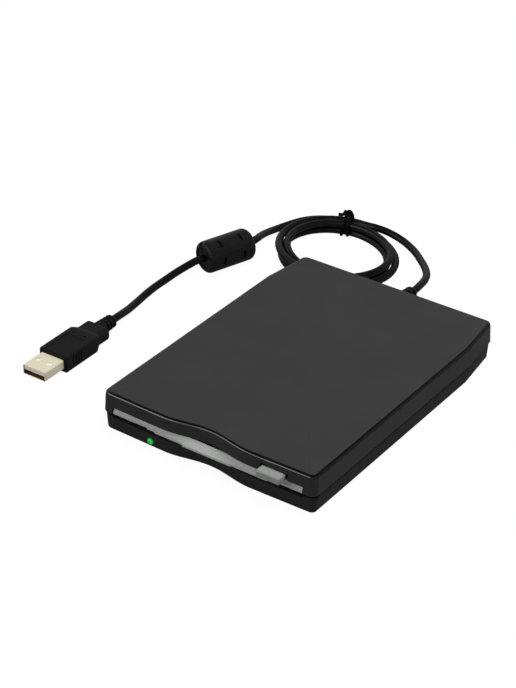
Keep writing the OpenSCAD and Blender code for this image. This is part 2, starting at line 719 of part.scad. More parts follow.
// ---------- head drive ----------
clamp_front = [disk_back + 0.8, disk_back + 2];
clamp_back = [drive_back - 2.4, drive_back - 1];
module guide_rod() {
    color([0.85, 0.85, 0.87]) y_rod(clamp_front[0], clamp_back[1], rod_x, rod_z, rod_r);
}
module rod_clamps() {
    half = 2.2;
    x0 = window_x[0] - 1.6;
    low = 1.2;
    color([0.7, 0.71, 0.73]) difference() {
        union() {
            for (y = [clamp_front, clamp_back]) {
                box([x0, rod_x + half], y, [chassis_top, chassis_top + low]);
                box([rod_x - half, rod_x + half], y, [chassis_top, rod_z + 2]);
            }
            box([x0, window_x[0]], [clamp_front[0], clamp_back[1]], [chassis_top, chassis_top + low]);
        }
        y_rod(clamp_front[0] - 1, drive_back, rod_x, rod_z, rod_r);
    }
}
module stepper_motor() {
    color([0.6, 0.61, 0.63]) {
        y_rod(motor_y, drive_back - 0.2, screw_x0, rod_z, motor_r);
        box([screw_x0 + motor_r - 0.4, screw_x0 + motor_r + 1.4], [motor_y + 1, drive_back - 1],
            [rod_z - 2, rod_z + 2]);
    }
}
module lead_screw() {
    groove = 0.25;
    pitch = 3;
    y0 = disk_back + 2.9;
    color([0.8, 0.8, 0.82]) difference() {
        y_rod(y0, motor_y - 0.1, screw_x0, rod_z, lead_r);
        for (y = [y0 + 2:pitch / 2:motor_y - 2]) difference() {
            y_rod(y, y + 0.5, screw_x0, rod_z, lead_r + 1);
            y_rod(y - 1, y + 1, screw_x0, rod_z, lead_r - groove);
        }
    }
}
module screw_bracket() {
    plate = 0.7;
    front = disk_back + 2;
    right = window_x[1] + 6;
    color([0.7, 0.71, 0.73]) difference() {
        union() {
            box([screw_x0 - 3, right], [front, front + plate + 0.8], [chassis_top, rod_z + 2.6]);
            box([screw_x0 - 5, right], [motor_y - plate, motor_y], [chassis_top, rod_z + 4]);
            box([right - 4, right], [front, motor_y], [chassis_top, chassis_top + 0.6]);
        }
        y_rod(motor_y - 2, motor_y + 1, screw_x0, rod_z, lead_r + 0.3);
        y_rod(front - 1, front + 3, screw_x0, rod_z, lead_r + slip);
    }
}
module track_sensor() {
    right = rod_x - 8;
    y = [drive_back - 12, drive_back - 9.4];
    color([0.1, 0.1, 0.1]) {
        box([window_x[0] + 4, right], y, [board_top, board_top + 1.2]);
        box([right - 3, right], y, [board_top, rod_z + 1]);
    }
}

// ---------- switches ----------
module switch_bodies() {
    color([0.1, 0.1, 0.11]) for (i = [0:2]) difference() {
        box([switch_x[i] - switch_half, switch_x[i] + switch_half],
            [switch_y[i] - switch_half, switch_y[i] + switch_half], [board_top, disk_z - drop - clear]);
        post([switch_x[i], switch_y[i]], switch_floor, disk_z, plunger_r + slip);
    }
}
module plunger(i) {
    color([0.9, 0.9, 0.88]) post([switch_x[i], switch_y[i]], switch_floor + plunger_travel + slip,
        disk_z - drop + plunger_travel, plunger_r);
}

// ---------- interface board and cables ----------
usb_y = [drive_back + 3, relief_in - slip];
module usb_board() {
    color([0.1, 0.3, 0.45]) difference() {
        box(usb_x, usb_y, [usb_board_z, usb_board_z + 1]);
        box([-flange_r - clear, flange_r + clear], [relief_in - relief_flange_t - clear, case_d],
            [usb_board_z - 1, usb_board_z + 2]);
        for (p = usb_bosses) post(p, usb_board_z - 1, usb_board_z + 2, drive_shank_r + slip);
    }
}
module usb_parts() {
    depth = usb_y[1] - usb_y[0];
    pitch = (depth - 3.15) / 2;
    color([0.12, 0.12, 0.13]) translate([usb_x[1], usb_y[0], usb_board_z + 1]) {
        box([-27, -21], [0.5, depth - 1.05], [0, 1]);
        box([-18, -10], [2, 5], [0, 2.6]);
        for (i = [0:2]) box([-2.6, -0.6], [0.6 + pitch * i, 2 + pitch * i], [0, 0.7]);
    }
}
module usb_screws() {
    color([0.6, 0.6, 0.62]) for (p = usb_bosses)
        screw(p, usb_board_z + 1.9, 1.7, 0.9, drive_shank_r - slip / 2, 3.2, true);
}
socket_h = 1.8;
module ribbon_sockets() {
    color([0.9, 0.88, 0.8]) {
        box([ribbon_x[0] - 1, ribbon_x[1] + 1], [usb_y[0], usb_y[0] + 3],
            [usb_board_z + 1, usb_board_z + 1 + socket_h]);
    }
}
module ribbon_cable() {
    t = 0.25;
    a = board_top;
    b = usb_board_z + 1.8;
    color([0.85, 0.86, 0.88]) translate([ribbon_x[0], 0, 0]) rotate([90, 0, 90])
        linear_extrude(ribbon_x[1] - ribbon_x[0]) polygon([[drive_back - 14, a], [drive_back + 1, a],
            [drive_back + 1.4, b], [usb_y[0], b], [usb_y[0], b + t], [drive_back + 1.1, b + t],
            [drive_back + 0.7, a + t], [drive_back - 14, a + t]]);
}
module inner_wires() {
    z = usb_board_z + 1;
    colours = [[0.8, 0.1, 0.1], [0.9, 0.9, 0.9], [0.1, 0.6, 0.2], [0.1, 0.1, 0.1]];
    for (i = [0:3]) color(colours[i]) y_rod(usb_y[0] + 4, relief_in - relief_flange_t, -1.5 + i, z + 0.45,
        0.45);
    color([0.9, 0.88, 0.8]) box([-2.4, 2.4], [usb_y[0] + 1, usb_y[0] + 4], [z, z + 1.6]);
}

// ---------- cord ----------
// A tube of one polygon cross-section swept along a route
function unit(v) = v / norm(v);
function along(p, i) = unit(p[min(i + 1, len(p) - 1)] - p[max(i - 1, 0)]);
function frames(p, i = 0, side = undef) = i >= len(p) ? [] :
    let (t = along(p, i),
        s0 = is_undef(side) ? (abs(t[2]) > 0.9 ? [1, 0, 0] : cross(t, [0, 0, 1])) : side,
        s = unit(s0 - t * (s0 * t)))
    concat([[s, cross(t, s)]], frames(p, i + 1, s));
module tube(route, d, sides, turn = 0) {
    n = len(route);
    f = frames(route);
    points = [for (i = [0:n - 1]) for (k = [0:sides - 1]) let (a = turn + 360 * k / sides)
        route[i] + d / 2 * (cos(a) * f[i][0] + sin(a) * f[i][1])];
    faces = concat(
        [for (i = [0:n - 2]) for (k = [0:sides - 1])
            let (a = i * sides + k, b = i * sides + (k + 1) % sides)
            each [[a, a + sides, b + sides], [a, b + sides, b]]],
        [for (k = [1:sides - 2]) [0, k, k + 1]],
        [for (k = [1:sides - 2]) let (t = (n - 1) * sides) [t, t + k + 1, t + k]]);
    polyhedron(points, faces);
}
// Points between hand-chosen ones on a smooth curve through them
function curve_at(p, i, t) = let (n = len(p) - 1, a = p[max(i - 1, 0)], b = p[i], c = p[min(i + 1, n)],
    d = p[min(i + 2, n)]) 0.5 * (2 * b + (c - a) * t + (2 * a - 5 * b + 4 * c - d) * t * t
    + (3 * b - a - 3 * c + d) * t * t * t);
function smooth(p, steps) = concat(
    [for (i = [0:len(p) - 2]) for (k = [0:steps - 1]) curve_at(p, i, k / steps)], [p[len(p) - 1]]);

relief_tip = case_y + case_d / 2 + relief_l;
module strain_relief() {
    ribs = 4;
    rib_l = 1.6;
    y0 = case_d / 2;
    tip_d = 6.4;
    color([0.08, 0.08, 0.085]) at_case() {
        y_rod(relief_in - relief_flange_t, relief_in, 0, relief_z, flange_r);
        y_rod(relief_in - eps, y0 + 0.1, 0, relief_z, relief_neck_r);
        translate([0, y0, relief_z]) rotate([-90, 0, 0])
            cylinder(h = relief_l, d1 = relief_d - 1.4, d2 = tip_d - 1.2, $fn = 48);
        for (i = [0:ribs]) let (k = i / ribs, y = y0 + k * (relief_l - rib_l))
            y_rod(y, y + rib_l, 0, relief_z, (relief_d + (tip_d - relief_d) * k) / 2);
    }
}

// Route of the cord, from the case to the coil
coil_mid = [-52.5, 105];
coil_squash = 1.8;
coil_squash_at = 70;
coil_from = 95;
coil_low = cord_d / 2;
coil_high = coil_low + coil_step;
function coil_radius(t, a) = coil_r - coil_squash * cos(2 * (a - coil_squash_at))
    + coil_step * abs(t - coil_turns / 2);
function coil_z(t) = let (u = min(max((t - coil_turns / 2) * 2 + 0.5, 0), 1))
    coil_high + (coil_low - coil_high) * u * u * (3 - 2 * u);
function coil_point(t) = let (a = coil_from + 360 * t, r = coil_radius(t, a))
    [coil_mid[0] + r * cos(a), coil_mid[1] + r * sin(a), coil_z(t)];
loop_steps = 24;
coil_rings = floor(coil_turns * loop_steps);
coil_path = [for (i = [0:coil_rings]) coil_point(coil_turns * i / coil_rings)];
coil_in = unit(coil_path[0] - coil_path[1]);
coil_out = unit(coil_path[coil_rings] - coil_path[coil_rings - 1]);
coil_start = coil_path[0] + cord_d * coil_in;
coil_end = coil_path[coil_rings] + cord_d * coil_out;
coil_route = concat([coil_start], coil_path, [coil_end]);
// Least gap of the coil to itself, between points at least a third of a turn apart
coil_gap = min([for (i = [0:coil_rings]) for (j = [i + 8:1:coil_rings])
    norm(coil_path[i] - coil_path[j])]) - cord_d;
echo(coil_gap_mm = coil_gap);

ferrite_mid = [-90.8, 70.2, ferrite_d / 2];
ferrite_dir = unit([0.32, 0.947, 0]);
ferrite_in = ferrite_mid + ferrite_l / 2 * ferrite_dir;
ferrite_out = ferrite_mid - ferrite_l / 2 * ferrite_dir;
plug_front = [-97.5, -45.35, grip_t / 2];
plug_turn = -0.5;
plug_dir = [sin(plug_turn), cos(plug_turn), 0];
neck_l = 9;
sleeve_l = 9.8;
plug_end = plug_front + (grip_l + neck_l + sleeve_l) * plug_dir;

lead_points = [[0, relief_tip, relief_z], [0, relief_tip + 3.5, relief_z], [-0.4, 93, 9.1], [-1.7, 99.5, 8.3],
    [-4.8, 107, 6.8], [-10.2, 114.8, 5], [-16.9, 122.2, 3.4], [-23.8, 128.6, 2.6], [-31, 133, 2.6],
    [-37.5, 134.8, 3.4], [-43.5, 134.6, 4.6], coil_start + 3 * coil_in, coil_start];
run_points = [coil_end, coil_end + 4 * coil_out, [-59, 133.6, 1.8], [-65, 134.6, 1.8], [-70.5, 134.2, 1.8],
    [-76, 132.4, 1.8], [-80.8, 129, 1.8], [-84.6, 124.2, 1.8], [-87.4, 118, 1.8], [-89.2, 111.5, 2],
    [-90, 105, 2.8], [-89.2, 98.5, 4.4], [-87.7, 93, 6], [-86.3, 88.6, 7.2], ferrite_in + 2 * ferrite_dir,
    ferrite_in];
tail_points = [ferrite_out, ferrite_out - 3.5 * ferrite_dir, [-98.4, 49.2, 6], [-100.8, 44.4, 4],
    [-102.3, 38.8, 2.5], [-102.8, 32, 1.9], [-102.2, 24.5, 1.8], [-101, 16.5, 1.9], [-99.6, 9, 2.5],
    [-98.5, 3.4, 3.4], plug_end + 3 * plug_dir, plug_end];

module cord(points, steps) {
    color([0.09, 0.09, 0.095]) tube(smooth(points, steps), cord_d, 8, 22.5);
}
module cord_lead() { cord(lead_points, 1); }
module cord_coil() { color([0.1, 0.1, 0.105]) tube(coil_route, cord_d, 6); }
module cord_run() { cord(run_points, 1); }
module cord_tail() { cord(tail_points, 1); }

module at_ferrite() {
    translate(ferrite_mid) rotate([90, 0, atan2(ferrite_dir[1], ferrite_dir[0]) - 90]) children();
}
core_r = 5.6;
core_l = 20;
module ferrite_housing() {
    r = 2.4;
    half = ferrite_l / 2;
    color([0.07, 0.07, 0.075]) at_ferrite() difference() {
        rotate_extrude($fn = 64) polygon(concat([[0, -half]],
            arc([ferrite_d / 2 - r, -half + r], r, -90, 0, 5),
            arc([ferrite_d / 2 - r, half - r], r, 0, 90, 5), [[0, half]]));
        translate([0, 0, -core_l / 2]) cylinder(h = core_l, r = core_r, $fn = 48);
        // Notches of the four latches, on both sides of the parting line
        for (z = [-5.6, 5.6]) for (a = [-4, 65]) rotate(a)
            translate([ferrite_d / 2 - 1, -1.6, z - 0.55]) cube([2, 3.2, 1.1]);
    }
}
module ferrite_core() {
    color([0.25, 0.24, 0.24]) at_ferrite() difference() {
        translate([0, 0, -core_l / 2]) cylinder(h = core_l, r = core_r, $fn = 48);
        translate([0, 0, -core_l]) cylinder(h = 2 * core_l, r = cord_d / 2, $fn = 32);
    }
}

// ---------- plug ----------
module at_plug() { translate(plug_front) rotate(-plug_turn) children(); }
module plug_body() {
    half_w = grip_w / 2;
    half_t = grip_t / 2;
    neck_w = 12.2;
    neck_t = 5.8;
    taper_l = 3;
    collar_l = 2.6;
    rib_l = 1.3;
    r = 0.9;
    color([0.12, 0.12, 0.125]) at_plug() difference() {
        union() {
            hull() for (x = [-half_w + r, half_w - r]) for (z = [-half_t + r, half_t - r]) {
                translate([x, r, z]) sphere(r = r, $fn = 24);
                y_rod(r, grip_l - 1.5, x, z, r);
            }
            hull() {
                box([-half_w + 0.2, half_w - 0.2], [grip_l - 2, grip_l - 1.5],
                    [-half_t + 0.2, half_t - 0.2]);
                box([-neck_w / 2, neck_w / 2], [grip_l + taper_l, grip_l + taper_l + 0.2],
                    [-neck_t / 2, neck_t / 2]);
            }
            hull() for (x = [-1, 1]) for (z = [-1, 1])
                y_rod(grip_l + taper_l, grip_l + neck_l, x * (neck_w / 2 - r), z * (neck_t / 2 - r), r);
            translate([0, grip_l + neck_l, 0]) rotate([-90, 0, 0])
                cylinder(h = sleeve_l, d1 = 5.4, d2 = 4.4, $fn = 48);
            y_rod(grip_l + neck_l - eps, grip_l + neck_l + collar_l, 0, 0, 3.4);
            for (i = [0:2]) let (y = grip_l + neck_l + collar_l + 0.9 + 2.15 * i)
                y_rod(y, y + rib_l, 0, 0, 3.35 - 0.1 * i);
        }
        // Pocket for the metal plug, and the shallow panel on the upper face
        box([-usb_w / 2, usb_w / 2], [-1, usb_in], [-usb_h / 2, usb_h / 2]);
        box([-4.9, 4.9], [2.7, 15.8], [half_t - 0.28, half_t + 1]);
    }
}
usb_in = 6.3;
usb_wall = 0.35;
module plug_shell() {
    color([0.87, 0.85, 0.72]) at_plug() difference() {
        box([-usb_w / 2, usb_w / 2], [-usb_l, usb_in], [-usb_h / 2, usb_h / 2]);
        box([-usb_w / 2 + usb_wall, usb_w / 2 - usb_wall], [-usb_l - 1, usb_in + 1],
            [-usb_h / 2 + usb_wall, usb_h / 2 - usb_wall]);
        for (x = [-4.4, 2]) box([x, x + 2.4], [-6.6, -4.6], [-usb_h, usb_h]);
    }
}
tongue_low = -0.05;
module plug_tongue() {
    color([0.9, 0.9, 0.87]) at_plug() difference() {
        box([-usb_w / 2 + usb_wall, usb_w / 2 - usb_wall], [-usb_l + 0.4, usb_in],
            [tongue_low, usb_h / 2 - usb_wall]);
        for (i = [0:3]) box([contact_x(i) - 0.5, contact_x(i) + 0.5], [-usb_l + 1.4, usb_in + 1],
            [-1, tongue_low + 0.25]);
    }
}
function contact_x(i) = (i - 1.5) * 2.2;
module plug_contacts() {
    color([0.85, 0.7, 0.3]) at_plug() for (i = [0:3])
        box([contact_x(i) - 0.5, contact_x(i) + 0.5], [-usb_l + 1.4 + (i % 3 == 0 ? 0 : 1), usb_in - 0.4],
            [tongue_low - 0.05, tongue_low + 0.25]);
}

// ---------- tie round the coil ----------
tie_at = 112.5;
module twist_tie() {
    wire = 1.3;
    inner = coil_radius(1, tie_at) - cord_d / 2 - wire / 2 - 0.4;
    outer = inner + 12.8;
    low = 0.05 + wire / 2;
    high = coil_high + cord_d / 2 + wire / 2 + 0.15;
    mid = (inner + outer) / 2;
    loop = [[mid, high + 0.1], [inner + 1.6, high - 0.2], [inner + 0.1, high - 1.9],
        [inner - 0.2, coil_low + 1.8], [inner + 0.5, low + 0.5], [inner + 3, low], [outer - 5, low],
        [outer - 1.4, low + 0.1], [outer, coil_low + 0.7], [outer - 1.3, coil_low + 2.8],
        [mid + 3, high - 1.1]];
    twist = [[mid - 0.6, 0, high + 0.2], [mid + 0.4, 0.8, high + 1.6], [mid - 0.2, -0.6, high + 3],
        [mid + 0.6, 0.4, high + 4.4]];
    color([0.06, 0.06, 0.06]) translate([coil_mid[0], coil_mid[1], 0]) {
        for (a = [tie_at - 2.9, tie_at + 2.9]) rotate(a)
            tube(smooth([for (p = loop) [p[0], 0, p[1]]], 2), wire, 6);
        rotate(tie_at) tube(smooth(twist, 3), wire * 1.2, 6);
    }
}

at_case() top_cover();
at_case() bottom_cover();
at_case() case_screws();
at_case() rubber_feet();
at_case() dust_door();
at_case() door_spring();
at_case() eject_button();
at_case() led_lens();
at_case() led();
at_case() drive_chassis();
at_case() drive_shield();
at_case() drive_screws();
at_case() main_board();
at_case() board_parts();
at_case() motor_stator();
at_case() spindle_bearing();
at_case() spindle_rotor();
at_case() rotor_magnet();
at_case() spindle_hub();
at_case() slide_plate();
at_case() slide_springs();
at_case() disk_holder();
at_case() shutter_lever();
at_case() lever_pivot();
at_case() lever_spring();
at_case() head_carriage();
at_case() lower_head();
at_case() upper_arm();
at_case() upper_head();
at_case() arm_pin();
at_case() arm_spring();
at_case() head_flex();
at_case() guide_rod();
at_case() rod_clamps();
at_case() stepper_motor();
at_case() lead_screw();
at_case() screw_bracket();
at_case() track_sensor();
at_case() switch_bodies();
at_case() plunger(0);  // write_protect_pin
at_case() plunger(1);  // density_pin
at_case() plunger(2);  // disk_in_pin
at_case() usb_board();
at_case() usb_parts();
at_case() usb_screws();
at_case() ribbon_cable();
at_case() ribbon_sockets();
at_case() inner_wires();
strain_relief();
cord_lead();
cord_coil();
cord_run();
ferrite_housing();
ferrite_core();
cord_tail();
plug_body();
plug_shell();
plug_tongue();
plug_contacts();
twist_tie();
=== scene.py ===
"""Finishes and fine forms of an external 3.5-inch floppy disk drive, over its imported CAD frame.

Everything is in metres, in the frame of the CAD: the origin is under the middle of the drive, the front
faces -Y and +Z is up. The cord's route repeats the points of the part's source.
"""

from __future__ import annotations

import json
import logging
import math
from contextlib import contextmanager
from dataclasses import dataclass, field
from enum import Enum
from typing import Callable, Iterator, Sequence

import bmesh
import bpy
from mathutils import Matrix, Vector

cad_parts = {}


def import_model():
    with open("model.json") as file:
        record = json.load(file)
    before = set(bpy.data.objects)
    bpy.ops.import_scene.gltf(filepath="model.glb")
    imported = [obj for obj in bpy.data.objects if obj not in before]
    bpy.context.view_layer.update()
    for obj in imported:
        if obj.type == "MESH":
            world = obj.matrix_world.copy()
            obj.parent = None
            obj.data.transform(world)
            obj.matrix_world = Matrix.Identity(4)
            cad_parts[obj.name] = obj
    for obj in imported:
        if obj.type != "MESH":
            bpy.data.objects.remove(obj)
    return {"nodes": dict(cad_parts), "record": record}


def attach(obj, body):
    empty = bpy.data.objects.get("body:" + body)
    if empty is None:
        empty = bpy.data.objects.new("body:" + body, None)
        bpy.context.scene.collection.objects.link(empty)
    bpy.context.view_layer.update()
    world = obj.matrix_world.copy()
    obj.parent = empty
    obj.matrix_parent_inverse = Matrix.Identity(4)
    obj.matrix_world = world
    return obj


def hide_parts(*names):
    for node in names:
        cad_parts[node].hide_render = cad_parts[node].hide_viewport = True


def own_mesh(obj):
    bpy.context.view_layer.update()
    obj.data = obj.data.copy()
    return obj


MM = 0.001
Pair = tuple[float, float]
Triple = tuple[float, float, float]
WHITE = (1.0, 1.0, 1.0, 1.0)
# Least angle, in degrees, of an edge that stays sharp
SHARP_FROM = 38.0
# Points closer than this, in metres, are one point
WELD = 0.002 * MM
# Least share of a normal along an axis, for a face that lies square to it
LEVEL = 0.9999
# Radius, in millimetres, of the hole that a moulding on the cord leaves for it
CORD_BORE = 1.77
log = logging.getLogger("floppy_drive")


# ---------------------------------------------------------------- shared helpers


def linear(hex_colour: str) -> tuple[float, float, float, float]:
    """Turns an sRGB hex colour into linear light.

    Args:
        hex_colour: A colour such as "#1d1e1f".

    Returns:
        Red, green, blue and an alpha of 1.
    """
    digits = hex_colour.lstrip("#")
    parts = [int(digits[i:i + 2], 16) / 255 for i in (0, 2, 4)]
    light = [c / 12.92 if c <= 0.04045 else ((c + 0.055) / 1.055) ** 2.4 for c in parts]
    return (light[0], light[1], light[2], 1.0)


def add_node(tree: bpy.types.NodeTree, kind: str, inputs: dict | None = None, **settings: object) -> bpy.types.Node:
    """Adds a node to a tree, with its settings and its inputs.

    Args:
        tree: The tree that the node goes into.
        kind: The node's type name.
        inputs: For each input, by name or number, a value or the socket that feeds it.
        **settings: Properties of the node itself.

    Returns:
        The new node.
    """
    node = tree.nodes.new(kind)
    for name, value in settings.items():
        setattr(node, name, value)
    for key, value in (inputs or {}).items():
        if isinstance(value, bpy.types.NodeSocket):
            tree.links.new(value, node.inputs[key])
        else:
            node.inputs[key].default_value = value
    return node


def new_material(name: str) -> tuple[bpy.types.Material, bpy.types.NodeTree]:
    """Makes an empty node material and returns it with its tree."""
    material = bpy.data.materials.new(name)
    material.use_nodes = True
    material.node_tree.nodes.clear()
    return material, material.node_tree


def link_to_scene(name: str, data: bpy.types.ID) -> bpy.types.Object:
    """Wraps a mesh or a curve in an object in the scene."""
    obj = bpy.data.objects.new(name, data)
    bpy.context.scene.collection.objects.link(obj)
    return obj


def flattened(obj: bpy.types.Object) -> bpy.types.Object:
    """Applies an object's modifiers to its mesh.

    Args:
        obj: The object, with its modifiers live.

    Returns:
        The same object, with a plain mesh and no modifier.
    """
    bpy.context.view_layer.update()
    graph = bpy.context.evaluated_depsgraph_get()
    mesh = bpy.data.meshes.new_from_object(obj.evaluated_get(graph), depsgraph=graph)
    obj.modifiers.clear()
    old = obj.data
    obj.data = mesh
    bpy.data.meshes.remove(old)
    return obj


@contextmanager
def opened(mesh: bpy.types.Mesh) -> Iterator[bmesh.types.BMesh]:
    """Opens a mesh for editing, and writes the edit back to it."""
    shell = bmesh.new()
    shell.from_mesh(mesh)
    yield shell
    shell.to_mesh(mesh)
    shell.free()


def points_object(name: str, places: Sequence[Triple]) -> bpy.types.Object:
    """Makes an object of loose points, given in millimetres, for a pattern to grow on."""
    mesh = bpy.data.meshes.new(name)
    mesh.from_pydata([tuple(c * MM for c in place) for place in places], [], [])
    return link_to_scene(name, mesh)


def skinned(name: str, rings: Sequence[Sequence[Triple]], hollow: bool = False,
            sharp_from: float = SHARP_FROM) -> bpy.types.Object:
    """Joins rings of equally many points into a closed skin.

    Args:
        name: The new object's name.
        rings: The rings, in millimetres, each a closed loop of points.
        hollow: Whether the last ring joins the first, as in a tube with a wall, or both ends are capped.
        sharp_from: Least angle, in degrees, of an edge that stays sharp.

    Returns:
        The new object, with its faces turned outwards.
    """
    count, last = len(rings[0]), len(rings)
    verts = [tuple(c * MM for c in point) for ring in rings for point in ring]
    faces = [(j * count + i, j * count + (i + 1) % count, (j + 1) % last * count + (i + 1) % count,
              (j + 1) % last * count + i) for j in range(last if hollow else last - 1) for i in range(count)]
    if not hollow:
        faces += [tuple(range(count - 1, -1, -1)), tuple((last - 1) * count + i for i in range(count))]
    mesh = bpy.data.meshes.new(name)
    mesh.from_pydata(verts, [], faces)
    with opened(mesh) as shell:
        bmesh.ops.recalc_face_normals(shell, faces=shell.faces)
    mesh.shade_smooth()
    mesh.set_sharp_from_angle(angle=math.radians(sharp_from))
    return link_to_scene(name, mesh)


def lathed(name: str, profile: Sequence[Pair], steps: int = 64) -> bpy.types.Object:
    """Turns a profile of (radius, height along Y), in millimetres, round the Y axis."""
    turns = [math.tau * k / steps for k in range(steps)]
    return skinned(name, [[(r * math.cos(a), y, r * math.sin(a)) for a in turns] for r, y in profile])


def tube(name: str, routes: Sequence[Sequence[Vector]], radius: float, softness: int) -> bpy.types.Object:
    """Lays a round curve along each route.

    Args:
        name: The new object's name.
        routes: Points of each route, in metres.
        radius: Radius of the tube, in metres.
        softness: How finely its section is divided.

    Returns:
        The new curve object.
    """
    curve = bpy.data.curves.new(name, "CURVE")
    curve.dimensions = "3D"
    curve.bevel_depth = radius
    curve.bevel_resolution = softness
    curve.use_fill_caps = True
    for route in routes:
        spline = curve.splines.new("POLY")
        spline.points.add(len(route) - 1)
        for knot, place in zip(spline.points, route):
            knot.co = (*place, 1.0)
        spline.use_smooth = True
    return link_to_scene(name, curve)


def wired(name: str, route: Sequence[Vector], radius_mm: float, softness: int = 3) -> bpy.types.Object:
    """Bends a round wire along a route in millimetres, as a mesh."""
    bent = tube(name, [[place * MM for place in route]], radius_mm * MM, softness)
    bpy.context.view_layer.update()
    graph = bpy.context.evaluated_depsgraph_get()
    mesh = bpy.data.meshes.new_from_object(bent.evaluated_get(graph), depsgraph=graph)
    curve = bent.data
    bpy.data.objects.remove(bent)
    bpy.data.curves.remove(curve)
    mesh.name = name
    return link_to_scene(name, mesh)


def box_ring(half_w: float, half_t: float, radius: float, spacing: float,
             corner_steps: int = 5) -> list[Pair]:
    """Walks round a rounded rectangle, from the left end of its top.

    Args:
        half_w: Half its width.
        half_t: Half its height.
        radius: Radius of its corners.
        spacing: Rough distance between points on its flats, which is read from the full size only.

    Returns:
        Points (x, z), as many for every size made with one spacing.
    """
    across, up = round(15.0 / spacing), round(8.0 / spacing)
    flat_w, flat_t = half_w - radius, half_t - radius
    walk = [(-flat_w + 2 * flat_w * i / across, half_t) for i in range(across + 1)]
    corners = ((flat_w, flat_t, 90), (flat_w, -flat_t, 0), (-flat_w, -flat_t, -90), (-flat_w, flat_t, -180))
    flats = ([(half_w, flat_t - 2 * flat_t * i / up) for i in range(up + 1)],
             [(flat_w - 2 * flat_w * i / across, -half_t) for i in range(across + 1)],
             [(-half_w, -flat_t + 2 * flat_t * i / up) for i in range(up + 1)], [])
    for (x, z, start), flat in zip(corners, flats):
        walk += [(x + radius * math.cos(math.radians(start - 90 * k / corner_steps)),
                  z + radius * math.sin(math.radians(start - 90 * k / corner_steps)))
                 for k in range(1, corner_steps)]
        walk += flat
    return walk


def moved(obj: bpy.types.Object, matrix: Matrix) -> bpy.types.Object:
    """Moves an object's mesh, and leaves the object at the origin."""
    obj.data.transform(matrix)
    obj.data.update()
    return obj


def shift(x: float, y: float, z: float) -> Matrix:
    """Returns the matrix of a move in millimetres."""
    return Matrix.Translation(Vector((x, y, z)) * MM)


def joined(name: str, pieces: Sequence[bpy.types.Object]) -> bpy.types.Object:
    """Makes one mesh object of several, and removes them."""
    shell = bmesh.new()
    for piece in pieces:
        shell.from_mesh(piece.data)
        bpy.data.objects.remove(piece)
    mesh = bpy.data.meshes.new(name)
    shell.to_mesh(mesh)
    shell.free()
    return link_to_scene(name, mesh)


def eased(value: float, low: float, high: float) -> float:
    """Rises smoothly from 0 at low to 1 at high."""
    t = min(max((value - low) / (high - low), 0.0), 1.0)
    return t * t * (3 - 2 * t)


# ---------------------------------------------------------------- repeated forms, in Geometry Nodes


class Pattern:
    """A geometry node tree whose inputs are named sizes and a finish."""

    def __init__(self, name: str, sizes: Sequence[str]) -> None:
        """Makes the empty tree.

        Args:
            name: The tree's name.
            sizes: Names of its number inputs, in millimetres, turns or pieces.
        """
        self.tree = bpy.data.node_groups.new(name, "GeometryNodeTree")
        face = self.tree.interface
        face.new_socket("Geometry", in_out="INPUT", socket_type="NodeSocketGeometry")
        for size in sizes:
            face.new_socket(size, in_out="INPUT", socket_type="NodeSocketFloat")
        face.new_socket("Finish", in_out="INPUT", socket_type="NodeSocketMaterial")
        face.new_socket("Geometry", in_out="OUTPUT", socket_type="NodeSocketGeometry")
        self.given = self.tree.nodes.new("NodeGroupInput").outputs
        self.result = self.tree.nodes.new("NodeGroupOutput").inputs[0]

    def add(self, kind: str, inputs: dict | None = None, **settings: object) -> bpy.types.Node:
        """Adds a node to the tree."""
        return add_node(self.tree, kind, inputs, **settings)

    def calc(self, operation: str, a: object, b: object) -> bpy.types.NodeSocket:
        """Adds a sum of two values or sockets and returns its result."""
        return self.add("ShaderNodeMath", {0: a, 1: b}, operation=operation).outputs[0]

    def size(self, name: str) -> bpy.types.NodeSocket:
        """Returns a size that is given in millimetres, in metres."""
        return self.calc("MULTIPLY", self.given[name], MM)

    def join(self, *shapes: bpy.types.NodeSocket) -> bpy.types.NodeSocket:
        """Joins shapes into one and returns its socket."""
        joint = self.add("GeometryNodeJoinGeometry")
        for shape in shapes:
            self.tree.links.new(shape, joint.inputs[0])
        return joint.outputs[0]

    def end(self, shape: bpy.types.NodeSocket) -> None:
        """Ends the tree: shades the shape smooth, makes its copies real and gives them the finish."""
        smooth = self.add("GeometryNodeSetShadeSmooth", {0: shape})
        real = self.add("GeometryNodeRealizeInstances", {0: smooth.outputs[0]})
        dressed = self.add("GeometryNodeSetMaterial", {"Geometry": real.outputs[0], "Material": self.given["Finish"]})
        self.tree.links.new(dressed.outputs[0], self.result)

    def grow(self, obj: bpy.types.Object, finish: bpy.types.Material, **sizes: float) -> bpy.types.Object:
        """Runs the tree on an object and leaves a plain mesh.

        Args:
            obj: The object that the pattern grows on.
            finish: The material of the result.
            **sizes: The tree's sizes, by name with underscores for spaces.

        Returns:
            The same object.
        """
        modifier = obj.modifiers.new(self.tree.name, "NODES")
        modifier.node_group = self.tree
        values = {name.replace("_", " "): value for name, value in sizes.items()} | {"Finish": finish}
        for item in self.tree.interface.items_tree:
            if item.in_out == "INPUT" and item.name in values:
                modifier[item.identifier] = values[item.name]
        return flattened(obj)


